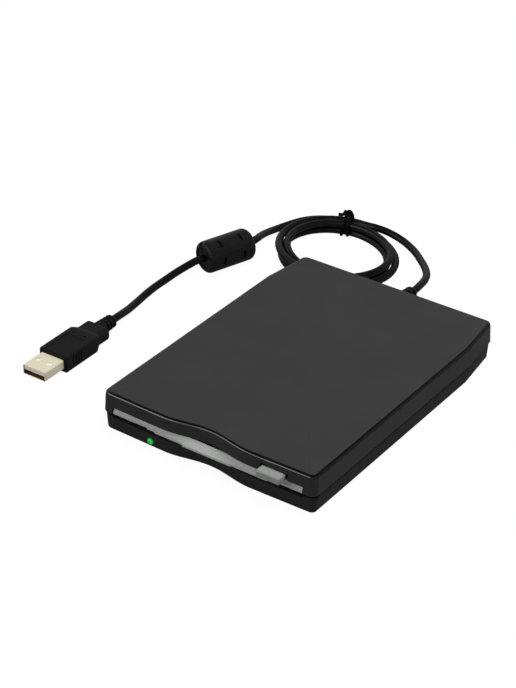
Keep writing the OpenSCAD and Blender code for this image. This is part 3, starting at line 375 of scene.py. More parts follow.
def rib_pattern() -> Pattern:
    """Builds the tree of round ribs along Y that shrink from the first to the last, over what is given."""
    made = Pattern("moulded_ribs", ("Start", "Count", "Pitch", "First Radius", "Last Radius", "Rib Width"))
    half = made.calc("MULTIPLY", made.given["Rib Width"], 0.5 * MM)
    ring = made.add("GeometryNodeCurvePrimitiveCircle",
                    {"Resolution": 56, "Radius": made.calc("SUBTRACT", made.size("First Radius"), half)})
    section = made.add("GeometryNodeCurvePrimitiveCircle", {"Resolution": 14, "Radius": half})
    rib = made.add("GeometryNodeCurveToMesh", {0: ring.outputs[0], 1: section.outputs[0]})
    step = made.add("ShaderNodeCombineXYZ", {"Y": made.size("Pitch")})
    start = made.add("ShaderNodeCombineXYZ", {"Y": made.size("Start")})
    row = made.add("GeometryNodeMeshLine", {"Count": made.given["Count"], "Start Location": start.outputs[0],
                                            "Offset": step.outputs[0]})
    order = made.add("GeometryNodeInputIndex").outputs[0]
    share = made.calc("DIVIDE", order, made.calc("SUBTRACT", made.given["Count"], 1.0))
    shrink = made.calc("SUBTRACT", made.calc("DIVIDE", made.given["Last Radius"], made.given["First Radius"]), 1.0)
    size = made.calc("ADD", made.calc("MULTIPLY", share, shrink), 1.0)
    scale = made.add("ShaderNodeCombineXYZ", {"X": size, "Y": size, "Z": 1.0})
    ribs = made.add("GeometryNodeInstanceOnPoints",
                    {"Points": row.outputs[0], "Instance": rib.outputs[0], "Rotation": (math.pi / 2, 0.0, 0.0),
                     "Scale": scale.outputs[0]})
    made.end(made.join(made.given["Geometry"], ribs.outputs[0]))
    return made


def screw_pattern() -> Pattern:
    """Builds the tree that sets a cross-head screw on each point, head outwards and down, or turned over."""
    sizes = ("Head Radius", "Head Height", "Cross Width", "Shank Radius", "Length")
    made = Pattern("cross_head_screws", (*sizes, "Tilt"))
    mm = {name: made.size(name) for name in sizes}
    crown = made.add("GeometryNodeMeshCone",
                     {"Vertices": 40, "Radius Top": mm["Head Radius"], "Depth": mm["Head Height"],
                      "Radius Bottom": made.calc("MULTIPLY", mm["Head Radius"], 0.8)}).outputs[0]
    arm = made.calc("MULTIPLY", mm["Head Radius"], 1.15)
    cuts = []
    for long_axis, short_axis in (("X", "Y"), ("Y", "X")):
        size = made.add("ShaderNodeCombineXYZ", {long_axis: arm, short_axis: mm["Cross Width"],
                                                 "Z": mm["Head Height"]})
        cuts.append(made.add("GeometryNodeMeshCube", {"Size": size.outputs[0]}).outputs[0])
    cross = made.add("GeometryNodeMeshBoolean", operation="DIFFERENCE", solver="EXACT")
    made.tree.links.new(crown, cross.inputs[0])
    for cut in cuts:
        made.tree.links.new(cut, cross.inputs[1])
    rod = made.add("GeometryNodeMeshCylinder",
                   {"Vertices": 24, "Radius": mm["Shank Radius"],
                    "Depth": made.calc("SUBTRACT", mm["Length"], mm["Head Height"])}).outputs[0]
    lift = made.add("ShaderNodeCombineXYZ",
                    {"Z": made.calc("MULTIPLY", made.calc("ADD", mm["Length"], mm["Head Height"]), 0.5)})
    shank = made.add("GeometryNodeTransform", {"Geometry": rod, "Translation": lift.outputs[0]}).outputs[0]
    turn = made.add("ShaderNodeCombineXYZ", {"X": made.given["Tilt"]})
    screws = made.add("GeometryNodeInstanceOnPoints",
                      {"Points": made.given["Geometry"], "Instance": made.join(cross.outputs[0], shank),
                       "Rotation": turn.outputs[0]})
    made.end(screws.outputs[0])
    return made


def spring_pattern() -> Pattern:
    """Builds the tree that runs a helical spring along Y from each point, with the post that holds its end."""
    made = Pattern("wound_springs", ("Turns", "Coil Radius", "Wire Radius", "Length", "Post Radius", "Post Height"))
    radius = made.size("Coil Radius")
    helix = made.add("GeometryNodeCurveSpiral",
                     {"Resolution": 24, "Rotations": made.given["Turns"], "Start Radius": radius,
                      "End Radius": radius, "Height": made.size("Length")})
    section = made.add("GeometryNodeCurvePrimitiveCircle",
                       {"Resolution": 10, "Radius": made.size("Wire Radius")})
    wire = made.add("GeometryNodeCurveToMesh", {0: helix.outputs[0], 1: section.outputs[0], "Fill Caps": True})
    laid = made.add("GeometryNodeTransform", {"Geometry": wire.outputs[0], "Rotation": (-math.pi / 2, 0.0, 0.0)})
    post = made.add("GeometryNodeMeshCylinder",
                    {"Vertices": 24, "Radius": made.size("Post Radius"), "Depth": made.size("Post Height")}).outputs[0]
    aside = made.add("GeometryNodeTransform", {"Geometry": post, "Translation": (0.0, -0.6 * MM, 0.15 * MM)})
    springs = made.add("GeometryNodeInstanceOnPoints",
                       {"Points": made.given["Geometry"], "Instance": made.join(laid.outputs[0], aside.outputs[0])})
    made.end(springs.outputs[0])
    return made


# ---------------------------------------------------------------- finishes


class Grain(Enum):
    """How a moulded surface was finished in its mould."""

    SPARK = "spark-eroded"
    SATIN = "satin"
    POLISHED = "polished"


class Lay(Enum):
    """Direction in which a metal surface is drawn or brushed."""

    ALONG_Y = (1.0, 0.04, 1.0)
    ALL_ROUND = (1.0, 1.0, 1.0)


@dataclass(frozen=True)
class Finish:
    """A finish, named for what the real surface is, that makes its own material."""

    name: str

    def build(self) -> bpy.types.Material:
        """Makes the material, patterned on the piece's own coordinates."""
        material, tree = new_material(self.name)
        place = add_node(tree, "ShaderNodeTexCoord").outputs["Object"]
        add_node(tree, "ShaderNodeOutputMaterial", {"Surface": self._shader(tree, place).outputs["BSDF"]})
        return material

    def _shader(self, tree: bpy.types.NodeTree, place: bpy.types.NodeSocket) -> bpy.types.Node:
        """Adds the finish's nodes to a tree.

        Args:
            tree: The material's tree.
            place: Where on the piece the surface is.

        Returns:
            The shader.
        """
        raise NotImplementedError


@dataclass(frozen=True)
class MouldedFinish(Finish):
    """A moulded plastic or rubber: a dye that varies a little, and the mould's grain in its gloss.

    Real mould grain is too fine to show at this distance, so grain_mm draws it several times coarser.
    """

    colour: str
    roughness: float
    grain: Grain = Grain.SPARK
    ior: float = 1.5
    specular: float = 0.5
    grain_mm: float = 0.45
    depth_mm: float = 0.012
    cloud_mm: float = 22.0
    cloud: float = 0.12

    def _shader(self, tree: bpy.types.NodeTree, place: bpy.types.NodeSocket) -> bpy.types.Node:
        """Adds cloudy colour, grain bump and uneven gloss."""
        clouds = add_node(tree, "ShaderNodeTexNoise",
                          {"Vector": place, "Scale": 1 / (self.cloud_mm * MM), "Detail": 3.0, "Roughness": 0.6})
        base = linear(self.colour)
        low = tuple(c * (1 - self.cloud) for c in base[:3]) + (1.0,)
        high = tuple(c * (1 + self.cloud) for c in base[:3]) + (1.0,)
        dye = add_node(tree, "ShaderNodeMix", {0: clouds.outputs["Fac"], 6: low, 7: high}, data_type="RGBA")
        grit = add_node(tree, "ShaderNodeTexNoise",
                        {"Vector": place, "Scale": 1 / (self.grain_mm * MM), "Detail": 4.0, "Roughness": 0.55})
        gloss = add_node(tree, "ShaderNodeMapRange",
                         {"Value": grit.outputs["Fac"], "From Min": 0.3, "From Max": 0.7,
                          "To Min": self.roughness * 0.92, "To Max": min(self.roughness * 1.08, 1.0)})
        shader = add_node(tree, "ShaderNodeBsdfPrincipled",
                          {"Base Color": dye.outputs[2], "Roughness": gloss.outputs["Result"],
                           "IOR": self.ior, "Specular IOR Level": self.specular})
        if self.grain is not Grain.POLISHED:
            bump = add_node(tree, "ShaderNodeBump",
                            {"Height": grit.outputs["Fac"], "Distance": self.depth_mm * MM, "Strength": 1.0})
            tree.links.new(bump.outputs["Normal"], shader.inputs["Normal"])
        return shader


@dataclass(frozen=True)
class MetalFinish(Finish):
    """A metal: its colour, the streaks of drawing or brushing, and faint stains in its gloss."""

    colour: str
    roughness: float
    lay: Lay = Lay.ALL_ROUND
    streak_mm: float = 0.25
    stain_mm: float = 9.0
    spread: float = 0.35
    metallic: float = 1.0

    def _shader(self, tree: bpy.types.NodeTree, place: bpy.types.NodeSocket) -> bpy.types.Node:
        """Adds streaked roughness, a fine bump and a slightly uneven tone."""
        turned = add_node(tree, "ShaderNodeMapping", {"Vector": place, "Scale": self.lay.value})
        streaks = add_node(tree, "ShaderNodeTexNoise",
                           {"Vector": turned.outputs["Vector"], "Scale": 1 / (self.streak_mm * MM), "Detail": 3.0})
        stains = add_node(tree, "ShaderNodeTexNoise",
                          {"Vector": place, "Scale": 1 / (self.stain_mm * MM), "Detail": 4.0, "Roughness": 0.6})
        base = linear(self.colour)
        dull = tuple(c * 0.86 for c in base[:3]) + (1.0,)
        tone = add_node(tree, "ShaderNodeMix", {0: stains.outputs["Fac"], 6: dull, 7: base}, data_type="RGBA")
        gloss = add_node(tree, "ShaderNodeMapRange",
                         {"Value": streaks.outputs["Fac"], "From Min": 0.3, "From Max": 0.7,
                          "To Min": self.roughness * (1 - self.spread),
                          "To Max": min(self.roughness * (1 + self.spread), 1.0)})
        bump = add_node(tree, "ShaderNodeBump",
                        {"Height": streaks.outputs["Fac"], "Distance": 0.004 * MM, "Strength": 1.0})
        shader = add_node(tree, "ShaderNodeBsdfPrincipled",
                          {"Base Color": tone.outputs[2], "Metallic": self.metallic,
                           "Roughness": gloss.outputs["Result"], "Normal": bump.outputs["Normal"]})
        return shader


@dataclass(frozen=True)
class LensFinish(Finish):
    """A tinted clear plastic with a light behind it, brightest in a ring round its middle."""

    colour: str
    light: str
    glow: float
    middle: Triple
    radius_mm: float

    def _shader(self, tree: bpy.types.NodeTree, place: bpy.types.NodeSocket) -> bpy.types.Node:
        """Adds tinted gloss, with the glow of a round lamp seen through its dome."""
        offset = add_node(tree, "ShaderNodeVectorMath", {0: place, 1: self.middle}, operation="SUBTRACT")
        flat = add_node(tree, "ShaderNodeVectorMath", {0: offset.outputs[0], 1: (1.0, 0.0, 1.0)},
                        operation="MULTIPLY")
        reach = add_node(tree, "ShaderNodeVectorMath", {0: flat.outputs[0]}, operation="LENGTH")
        share = add_node(tree, "ShaderNodeMath", {0: reach.outputs["Value"], 1: self.radius_mm * MM},
                         operation="DIVIDE")
        rings = add_node(tree, "ShaderNodeValToRGB", {0: share.outputs[0]})
        stops = rings.color_ramp.elements
        stops[0].position, stops[0].color = 0.15, (0.35, 0.35, 0.35, 1.0)
        stops[1].position, stops[1].color = 1.0, (0.3, 0.3, 0.3, 1.0)
        stops.new(0.6).color = WHITE
        fade = add_node(tree, "ShaderNodeMath", {0: rings.outputs["Color"], 1: self.glow}, operation="MULTIPLY")
        shader = add_node(tree, "ShaderNodeBsdfPrincipled",
                          {"Base Color": linear(self.colour), "Roughness": 0.12, "IOR": 1.5,
                           "Emission Color": linear(self.light), "Emission Strength": fade.outputs[0]})
        return shader


@dataclass(frozen=True)
class BoardFinish(Finish):
    """Glass-epoxy board under solder mask, with the tracks raised and a little lighter."""

    mask: str
    track: str
    pitch_mm: float = 1.27

    def _shader(self, tree: bpy.types.NodeTree, place: bpy.types.NodeSocket) -> bpy.types.Node:
        """Adds a brick pattern of tracks under a glossy mask."""
        tracks = add_node(tree, "ShaderNodeTexBrick",
                          {"Vector": place, "Scale": 1 / (self.pitch_mm * 4 * MM), "Mortar Size": 0.035,
                           "Color1": linear(self.mask), "Color2": linear(self.mask), "Mortar": linear(self.track)})
        cloth = add_node(tree, "ShaderNodeTexNoise", {"Vector": place, "Scale": 1 / (0.6 * MM), "Detail": 2.0})
        bump = add_node(tree, "ShaderNodeBump",
                        {"Height": tracks.outputs["Fac"], "Distance": 0.035 * MM, "Strength": 0.8})
        gloss = add_node(tree, "ShaderNodeMapRange", {"Value": cloth.outputs["Fac"], "To Min": 0.2, "To Max": 0.4})
        shader = add_node(tree, "ShaderNodeBsdfPrincipled",
                          {"Base Color": tracks.outputs["Color"], "Roughness": gloss.outputs["Result"], "IOR": 1.5,
                           "Normal": bump.outputs["Normal"]})
        return shader


@dataclass(frozen=True)
class StripedFinish(Finish):
    """Lengthwise stripes, as of the conductors in a flat lead or the turns of a winding."""

    colour: str
    stripe: str
    pitch_mm: float
    roughness: float
    metallic: float = 0.0

    def _shader(self, tree: bpy.types.NodeTree, place: bpy.types.NodeSocket) -> bpy.types.Node:
        """Adds sine bands across X, with a bump on each stripe."""
        bands = add_node(tree, "ShaderNodeTexWave",
                         {"Vector": place, "Scale": 0.314 / (self.pitch_mm * MM), "Distortion": 0.0},
                         wave_type="BANDS", bands_direction="X")
        tone = add_node(tree, "ShaderNodeMix",
                        {0: bands.outputs["Fac"], 6: linear(self.colour), 7: linear(self.stripe)}, data_type="RGBA")
        bump = add_node(tree, "ShaderNodeBump",
                        {"Height": bands.outputs["Fac"], "Distance": 0.06 * MM, "Strength": 1.0})
        shader = add_node(tree, "ShaderNodeBsdfPrincipled",
                          {"Base Color": tone.outputs[2], "Metallic": self.metallic, "Roughness": self.roughness,
                           "Normal": bump.outputs["Normal"]})
        return shader


# Spark-eroded black ABS: a flat, very dark face whose fine grain scatters the lamps into an even grey
COVER_ABS = MouldedFinish("black_abs_spark_eroded", "#343435", 0.52, specular=0.05)
# The same ABS where the mould was polished, on the rounded edge, with a clear reflection; its near-black colour,
# darker than the cover's, is painted shade
EDGE_ABS_PAINTED_SHADE = MouldedFinish("black_abs_polished_edge_painted_shade", "#0c0c0d", 0.2, Grain.POLISHED, specular=0.85)
# The lower shell is the same plastic, in a mould with a slightly finer grain; its colour is a little darker than the
# cover's, as painted shade, for it sits low and its front faces slightly down
BASE_ABS_PAINTED_SHADE = MouldedFinish("black_abs_lower_shell_painted_shade", "#2e2e2f", 0.5, specular=0.05, grain_mm=0.4)
# The same plastic deep in the gap between the shells, near black as painted shade, where no lamp reaches
GAP_ABS_PAINTED_SHADE = MouldedFinish("black_abs_painted_shade_in_the_gap", "#050505", 0.6, specular=0.02)
# Silver-grey ABS of the flap and the button, with a satin face
GREY_ABS = MouldedFinish("grey_abs_satin", "#b0b2af", 0.42, Grain.SATIN, grain_mm=0.35, depth_mm=0.006, cloud=0.05)
# The button's ABS is dyed a little darker
BUTTON_ABS = MouldedFinish("grey_abs_button", "#8f918d", 0.42, Grain.SATIN, grain_mm=0.35, depth_mm=0.006, cloud=0.05)
# Soft PVC sheath: dark, with a broad soft shine
CORD_PVC = MouldedFinish("black_pvc_sheath", "#111112", 0.36, Grain.SATIN, specular=0.35, grain_mm=0.6,
                         depth_mm=0.01)
# Overmoulded PVC of the plug, with a satin grip
PLUG_PVC = MouldedFinish("black_pvc_overmould", "#1a1a1b", 0.45, Grain.SATIN, specular=0.06, grain_mm=0.4,
                         depth_mm=0.01)
# ABS shell of the ferrite, with a satin shine
FERRITE_ABS = MouldedFinish("black_abs_ferrite_shell", "#191919", 0.36, Grain.SATIN, specular=0.22, grain_mm=0.8,
                            depth_mm=0.006)
# Polythene coat of the twist tie
TIE_PE = MouldedFinish("black_polythene_tie", "#0a0a0b", 0.4, Grain.SATIN, specular=0.12, grain_mm=0.5,
                       depth_mm=0.015)
# Moulded rubber feet: dull, and blacker than the case
FOOT_RUBBER = MouldedFinish("black_rubber_feet", "#1a1a1a", 0.8, grain_mm=0.5, depth_mm=0.02, ior=1.52)
# Moulding compound of chips and switches: matt, a cold black
CHIP_EPOXY = MouldedFinish("black_moulding_epoxy", "#17181a", 0.6, grain_mm=0.3)
# Undyed nylon of the lever and the sockets: cream, with a soft shine
CREAM_NYLON = MouldedFinish("cream_nylon", "#d8d0b4", 0.45, Grain.SATIN)
# Glass-filled PPS of the head carriage: dark, with a rougher skin
CARRIAGE_PPS = MouldedFinish("glass_filled_carriage", "#26262a", 0.5, grain_mm=0.3, depth_mm=0.02)
# Lapped ceramic of the heads: pale and glassy
HEAD_CERAMIC = MouldedFinish("polished_head_ceramic", "#dcd8c8", 0.15, Grain.POLISHED, ior=1.7)
# Acetal of the plungers: white and waxy
PLUNGER_POM = MouldedFinish("white_acetal", "#e4e3dd", 0.35, Grain.SATIN, ior=1.48)
# PBT of the plug's tongue: white, slightly shiny
TONGUE_PBT = MouldedFinish("white_pbt_tongue", "#e9e8e3", 0.4, Grain.SATIN, ior=1.55)
# Sintered ferrite: slate grey and rough
CORE_FERRITE = MouldedFinish("sintered_ferrite", "#2b2b2e", 0.55, grain_mm=0.25, depth_mm=0.03, ior=2.2)
# PVC of the wires inside: red, half glossy
WIRE_PVC = MouldedFinish("coloured_wire_pvc", "#a03028", 0.4, Grain.SATIN)
# Clear epoxy of the lamp: nearly white, glossy, faintly green
LED_EPOXY = MouldedFinish("clear_led_epoxy", "#dfeeda", 0.2, Grain.POLISHED)
# Polycarbonate of the light: deep green, lit from behind
LENS_PC = LensFinish("green_polycarbonate_lens", "#0e6a22", "#35d855", 0.8, (-27.4 * MM, 0.0, 3.55 * MM), 1.45)
# Zinc-plated sheet steel, with the mill's lengthwise streaks
SHEET_STEEL = MetalFinish("zinc_plated_sheet", "#b9bcc0", 0.38, Lay.ALONG_Y)
# Zinc-plated screws: grey, with a low shine
SCREW_STEEL = MetalFinish("zinc_plated_screws", "#a9abae", 0.35)
# Drawn spring wire: bright along its length
SPRING_STEEL = MetalFinish("bright_spring_wire", "#b8b8b2", 0.28, Lay.ALONG_Y)
# Ground steel of rods, shafts and the motor: the brightest metal inside
GROUND_STEEL = MetalFinish("ground_steel", "#c8c9cc", 0.22, Lay.ALONG_Y)
# Sintered bronze: a dull yellow brown
BEARING_BRONZE = MetalFinish("sintered_bronze", "#a98a4c", 0.45)
# Nickel over a brass shell, faintly warm, with a drawn face
SHELL_NICKEL = MetalFinish("nickel_plated_shell", "#f0e9cc", 0.45, Lay.ALONG_Y, streak_mm=0.3, spread=0.15,
                           metallic=0.2)
# The inside of the same shell: its dark brown is painted shade and a painted reflection of the contacts
SHELL_INSIDE_PAINTED_SHADE_AND_REFLECTION = MetalFinish("shell_inside_painted_shade_and_reflection", "#8a4a1c", 0.5, Lay.ALONG_Y, metallic=0.5)
# Gold flash on the plug's contacts: warm and bright
CONTACT_GOLD = MetalFinish("gold_plated_contacts", "#d9b45a", 0.22, Lay.ALONG_Y)
# Glass-epoxy board under green mask, its tracks a lighter green
BOARD_GREEN = BoardFinish("green_solder_mask", "#12441f", "#2c7a38")
# The small board at the cord, under blue mask
BOARD_BLUE = BoardFinish("blue_solder_mask", "#123a5c", "#2b6390")
# Flat cable: pale film with a grey line for each conductor
RIBBON_FILM = StripedFinish("ribbon_cable_film", "#d7d9dc", "#9aa2ab", 1.0, 0.35)
# Polyimide of the heads' flat lead: amber, with darker lines
FLEX_FILM = StripedFinish("polyimide_flex", "#b4702a", "#8a4f16", 0.5, 0.3)
# Enamelled copper of the stator: red brown, a line for each turn
WINDING_COPPER = StripedFinish("wound_copper", "#b5652c", "#6d3512", 0.5, 0.35, metallic=1.0)

class PaintBox:
    """Builds each finish once and hands out its material."""

    def __init__(self) -> None:
        """Starts with no material made."""
        self._made: dict[str, bpy.types.Material] = {}

    def get(self, finish: Finish) -> bpy.types.Material:
        """Returns a finish's material, made the first time that it is asked for."""
        if finish.name not in self._made:
            self._made[finish.name] = finish.build()
        return self._made[finish.name]

    def dress(self, obj: bpy.types.Object, *finishes: Finish) -> None:
        """Gives an object these finishes as its material slots."""
        if obj.data.materials:
            obj.data.materials.clear()
        for finish in finishes:
            obj.data.materials.append(self.get(finish))


# ---------------------------------------------------------------- the CAD frame


class CadFrame:
    """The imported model, and the record's facts about its nodes."""

    # Least area, in square metres, of a flat face that is shaded flat
    broad = 0.0004

    def __init__(self) -> None:
        """Loads the model."""
        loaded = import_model()
        self.nodes: dict[str, bpy.types.Object] = loaded["nodes"]
        record = loaded["record"]
        self.body = {node: body for body, held in record["behaviour"]["bodies"].items() for node in held}
        self.slot = {part["node"]: part["material_slot"] for part in record["subparts"]}

    def stand_in(self, obj: bpy.types.Object, *nodes: str) -> None:
        """Makes a finished piece stand for CAD nodes of one body: attaches it to their body and hides them."""
        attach(obj, self.body[nodes[0]])
        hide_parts(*nodes)
        log.info("%s stands for %s", obj.name, ", ".join(nodes))

    def merged_copy(self, node: str, name: str) -> bpy.types.Object:
        """Copies a node's mesh, with its loose triangles merged into whole faces.

        Args:
            node: The CAD node.
            name: The new object's name.

        Returns:
            The new object, at the origin as the node is.
        """
        mesh = self.nodes[node].data.copy()
        mesh.name = name
        for layer in ("custom_normal", "sharp_edge", "sharp_face"):
            if layer in mesh.attributes:
                mesh.attributes.remove(mesh.attributes[layer])
        with opened(mesh) as shell:
            bmesh.ops.remove_doubles(shell, verts=shell.verts, dist=WELD)
            bmesh.ops.dissolve_limit(shell, angle_limit=math.radians(0.4), verts=shell.verts, edges=shell.edges)
        mesh.materials.clear()
        return link_to_scene(name, mesh)

    def softened(self, node: str, name: str, edge_mm: float, steps: int = 2, from_angle: float = 32.0,
                 carve: Callable[[bmesh.types.BMesh], None] | None = None) -> bpy.types.Object:
        """Copies a node and rounds its hard edges as its mould or press leaves them.

        Args:
            node: The CAD node.
            name: The new object's name.
            edge_mm: Width of the rounding.
            steps: Segments across it.
            from_angle: Least angle, in degrees, of an edge that is rounded.
            carve: What is cut into the mesh before its edges are rounded.

        Returns:
            The new object, with smooth shading.
        """
        obj = self.merged_copy(node, name)
        if carve:
            with opened(obj.data) as shell:
                carve(shell)
        obj.data.shade_smooth()
        bevel = obj.modifiers.new("rounding", "BEVEL")
        bevel.width = edge_mm * MM
        bevel.segments = steps
        bevel.limit_method = "ANGLE"
        bevel.angle_limit = math.radians(from_angle)
        bevel.use_clamp_overlap = True
        bevel.miter_outer = "MITER_ARC"
        flattened(obj)
        obj.data.shade_smooth()
        obj.data.set_sharp_from_angle(angle=math.radians(SHARP_FROM))
        for face in obj.data.polygons:
            if face.area > self.broad and max(abs(c) for c in face.normal) > LEVEL:
                face.use_smooth = False
        weigh = obj.modifiers.new("weighted_normals", "WEIGHTED_NORMAL")
        weigh.keep_sharp = True
        return flattened(obj)


# ---------------------------------------------------------------- studio


@dataclass(frozen=True)
class Softbox:
    """A soft lamp that faces the middle of the drive."""

    place: Triple
    width: float
    height: float
    power: float
    mirrored: bool = True


@dataclass
class Studio:
    """White sweep, soft lamps and the photograph's camera."""

    eye_mm: Triple = (390.95, -592.71, 466.01)
    azimuth: float = 34.93
    elevation: float = 31.85
    roll: float = 0.73
    lens_mm: float = 106.22
    floor_half: float = 3.0
    floor_tone: str = "#a8a8a8"
    shadow_share: float = 0.12
    bright_side: Triple = (-0.8, -0.6, 0.0)
    dim_side: float = 0.15
    sky: float = 0.65
    horizon: Pair = (0.54, 0.62)
    overhead: float = 0.03
    floor_light: float = 1.1
    mirrored_floor: float = 0.12
    mirrored_tone: str = "#2a2a2a"
    lamps: dict[str, Softbox] = field(default_factory=lambda: {
        "overhead_softbox": Softbox((0.37, 0.27, 1.24), 0.7, 0.7, 19.5, mirrored=False),
        "rear_softbox": Softbox((0.24, 1.16, 0.16), 0.5, 0.3, 13.0, mirrored=False),
        "left_strip": Softbox((-0.588, -0.804, 0.54), 0.9, 0.35, 2.6),
    })

    def build(self) -> None:
        """Makes the camera, the world, the floor and the lamps."""
        self._camera()
        self._world()
        self._floor()
        for name, softbox in self.lamps.items():
            self._lamp(name, softbox)
        bpy.context.scene.view_settings.view_transform = "Standard"

    def _camera(self) -> None:
        """Stands the camera where the photograph was taken from."""
        a, e, r = (math.radians(v) for v in (self.azimuth, self.elevation, self.roll))
        back = Vector((math.sin(a) * math.cos(e), -math.cos(a) * math.cos(e), math.sin(e)))
        right = Vector((math.cos(a), math.sin(a), 0.0))
        up = back.cross(right)
        side = right * math.cos(r) + up * math.sin(r)
        top = up * math.cos(r) - right * math.sin(r)
        lens = bpy.data.cameras.new("photo_camera")
        lens.lens = self.lens_mm
        lens.sensor_width = 36.0
        lens.clip_start = 0.01
        camera = link_to_scene("photo_camera", lens)
        camera.matrix_world = Matrix.Translation(Vector(self.eye_mm) * MM) @ \
            Matrix((side, top, back)).transposed().to_4x4()
        bpy.context.scene.camera = camera

    def _world(self) -> None:
        """Makes a bright horizon, dimmer behind the right, that is dark overhead, as between softboxes."""
        world = bpy.data.worlds.new("studio")
        world.use_nodes = True
        tree = world.node_tree
        tree.nodes.clear()
        way = add_node(tree, "ShaderNodeTexCoord").outputs["Generated"]
        height = add_node(tree, "ShaderNodeSeparateXYZ", {0: way}).outputs["Z"]
        ramp = add_node(tree, "ShaderNodeValToRGB", {0: height})
        stops = ramp.color_ramp.elements
        stops[0].position, stops[0].color = self.horizon[0], WHITE
        stops[1].position, stops[1].color = self.horizon[1], (*[self.overhead] * 3, 1.0)
        side = add_node(tree, "ShaderNodeVectorMath", {0: way, 1: self.bright_side}, operation="DOT_PRODUCT")
        share = add_node(tree, "ShaderNodeMapRange",
                         {"Value": side.outputs["Value"], "From Min": -1.0, "To Min": self.dim_side * self.sky,
                          "To Max": self.sky})
        light = add_node(tree, "ShaderNodeBackground",
                         {"Color": ramp.outputs["Color"], "Strength": share.outputs["Result"]})
        add_node(tree, "ShaderNodeOutputWorld", {"Surface": light.outputs["Background"]})
        bpy.context.scene.world = world

    def _floor(self) -> None:
        """Lays a white table that shows a share of the drive's shadow, and hardly shines in polished faces."""
        mesh = bpy.data.meshes.new("floor")
        half = self.floor_half
        corners = [(-half, -half, 0.0), (half, -half, 0.0), (half, half, 0.0), (-half, half, 0.0)]
        mesh.from_pydata(corners, [], [(0, 1, 2, 3)])
        floor = link_to_scene("floor", mesh)
        material, tree = new_material("white_table")
        paths = add_node(tree, "ShaderNodeLightPath")
        mirrored = add_node(tree, "ShaderNodeMath", {0: paths.outputs["Is Glossy Ray"], 1: self.mirrored_floor},
                            operation="MULTIPLY")
        seen = add_node(tree, "ShaderNodeMath",
                        {0: paths.outputs["Is Camera Ray"], 1: paths.outputs["Is Transmission Ray"]}, operation="ADD")
        clear = add_node(tree, "ShaderNodeMath", {0: seen.outputs[0], 1: mirrored.outputs[0]}, operation="ADD",
                         use_clamp=True)
        share = add_node(tree, "ShaderNodeMath", {0: clear.outputs[0], 1: 1 - self.shadow_share},
                         operation="MULTIPLY")
        tone = add_node(tree, "ShaderNodeMix", {0: paths.outputs["Is Glossy Ray"], 6: linear(self.floor_tone),
                                                7: linear(self.mirrored_tone)}, data_type="RGBA")
        paper = add_node(tree, "ShaderNodeBsdfDiffuse", {"Color": tone.outputs[2]})
        white = add_node(tree, "ShaderNodeEmission", {"Color": WHITE, "Strength": self.floor_light})
        both = add_node(tree, "ShaderNodeMixShader", {0: share.outputs[0], 1: paper.outputs[0], 2: white.outputs[0]})
        add_node(tree, "ShaderNodeOutputMaterial", {"Surface": both.outputs[0]})
        mesh.materials.append(material)

    def _lamp(self, name: str, softbox: Softbox) -> None:
        """Hangs a softbox that faces the middle of the drive."""
        data = bpy.data.lights.new(name, "AREA")
        data.shape = "RECTANGLE"
        data.size, data.size_y = softbox.width, softbox.height
        data.energy = softbox.power
        lamp = link_to_scene(name, data)
        lamp.location = softbox.place
        lamp.visible_glossy = softbox.mirrored
        lamp.rotation_euler = (-Vector(softbox.place)).to_track_quat("-Z", "Y").to_euler()


# ---------------------------------------------------------------- cord


def rounded_route(points: Sequence[Vector], steps: int) -> list[Vector]:
    """Runs a smooth curve through given points.

    Args:
        points: The points, in order.
        steps: New points for each stretch between two of them.

    Returns:
        The points of the curve, ends included.
    """
    last = len(points) - 1
    route: list[Vector] = []
    for i in range(last):
        a, b, c, d = points[max(i - 1, 0)], points[i], points[i + 1], points[min(i + 2, last)]
        for k in range(steps):
            t = k / steps
            route.append(0.5 * (2 * b + (c - a) * t + (2 * a - 5 * b + 4 * c - d) * t * t
                                + (3 * b - a - 3 * c + d) * t ** 3))
    return route + [points[last]]


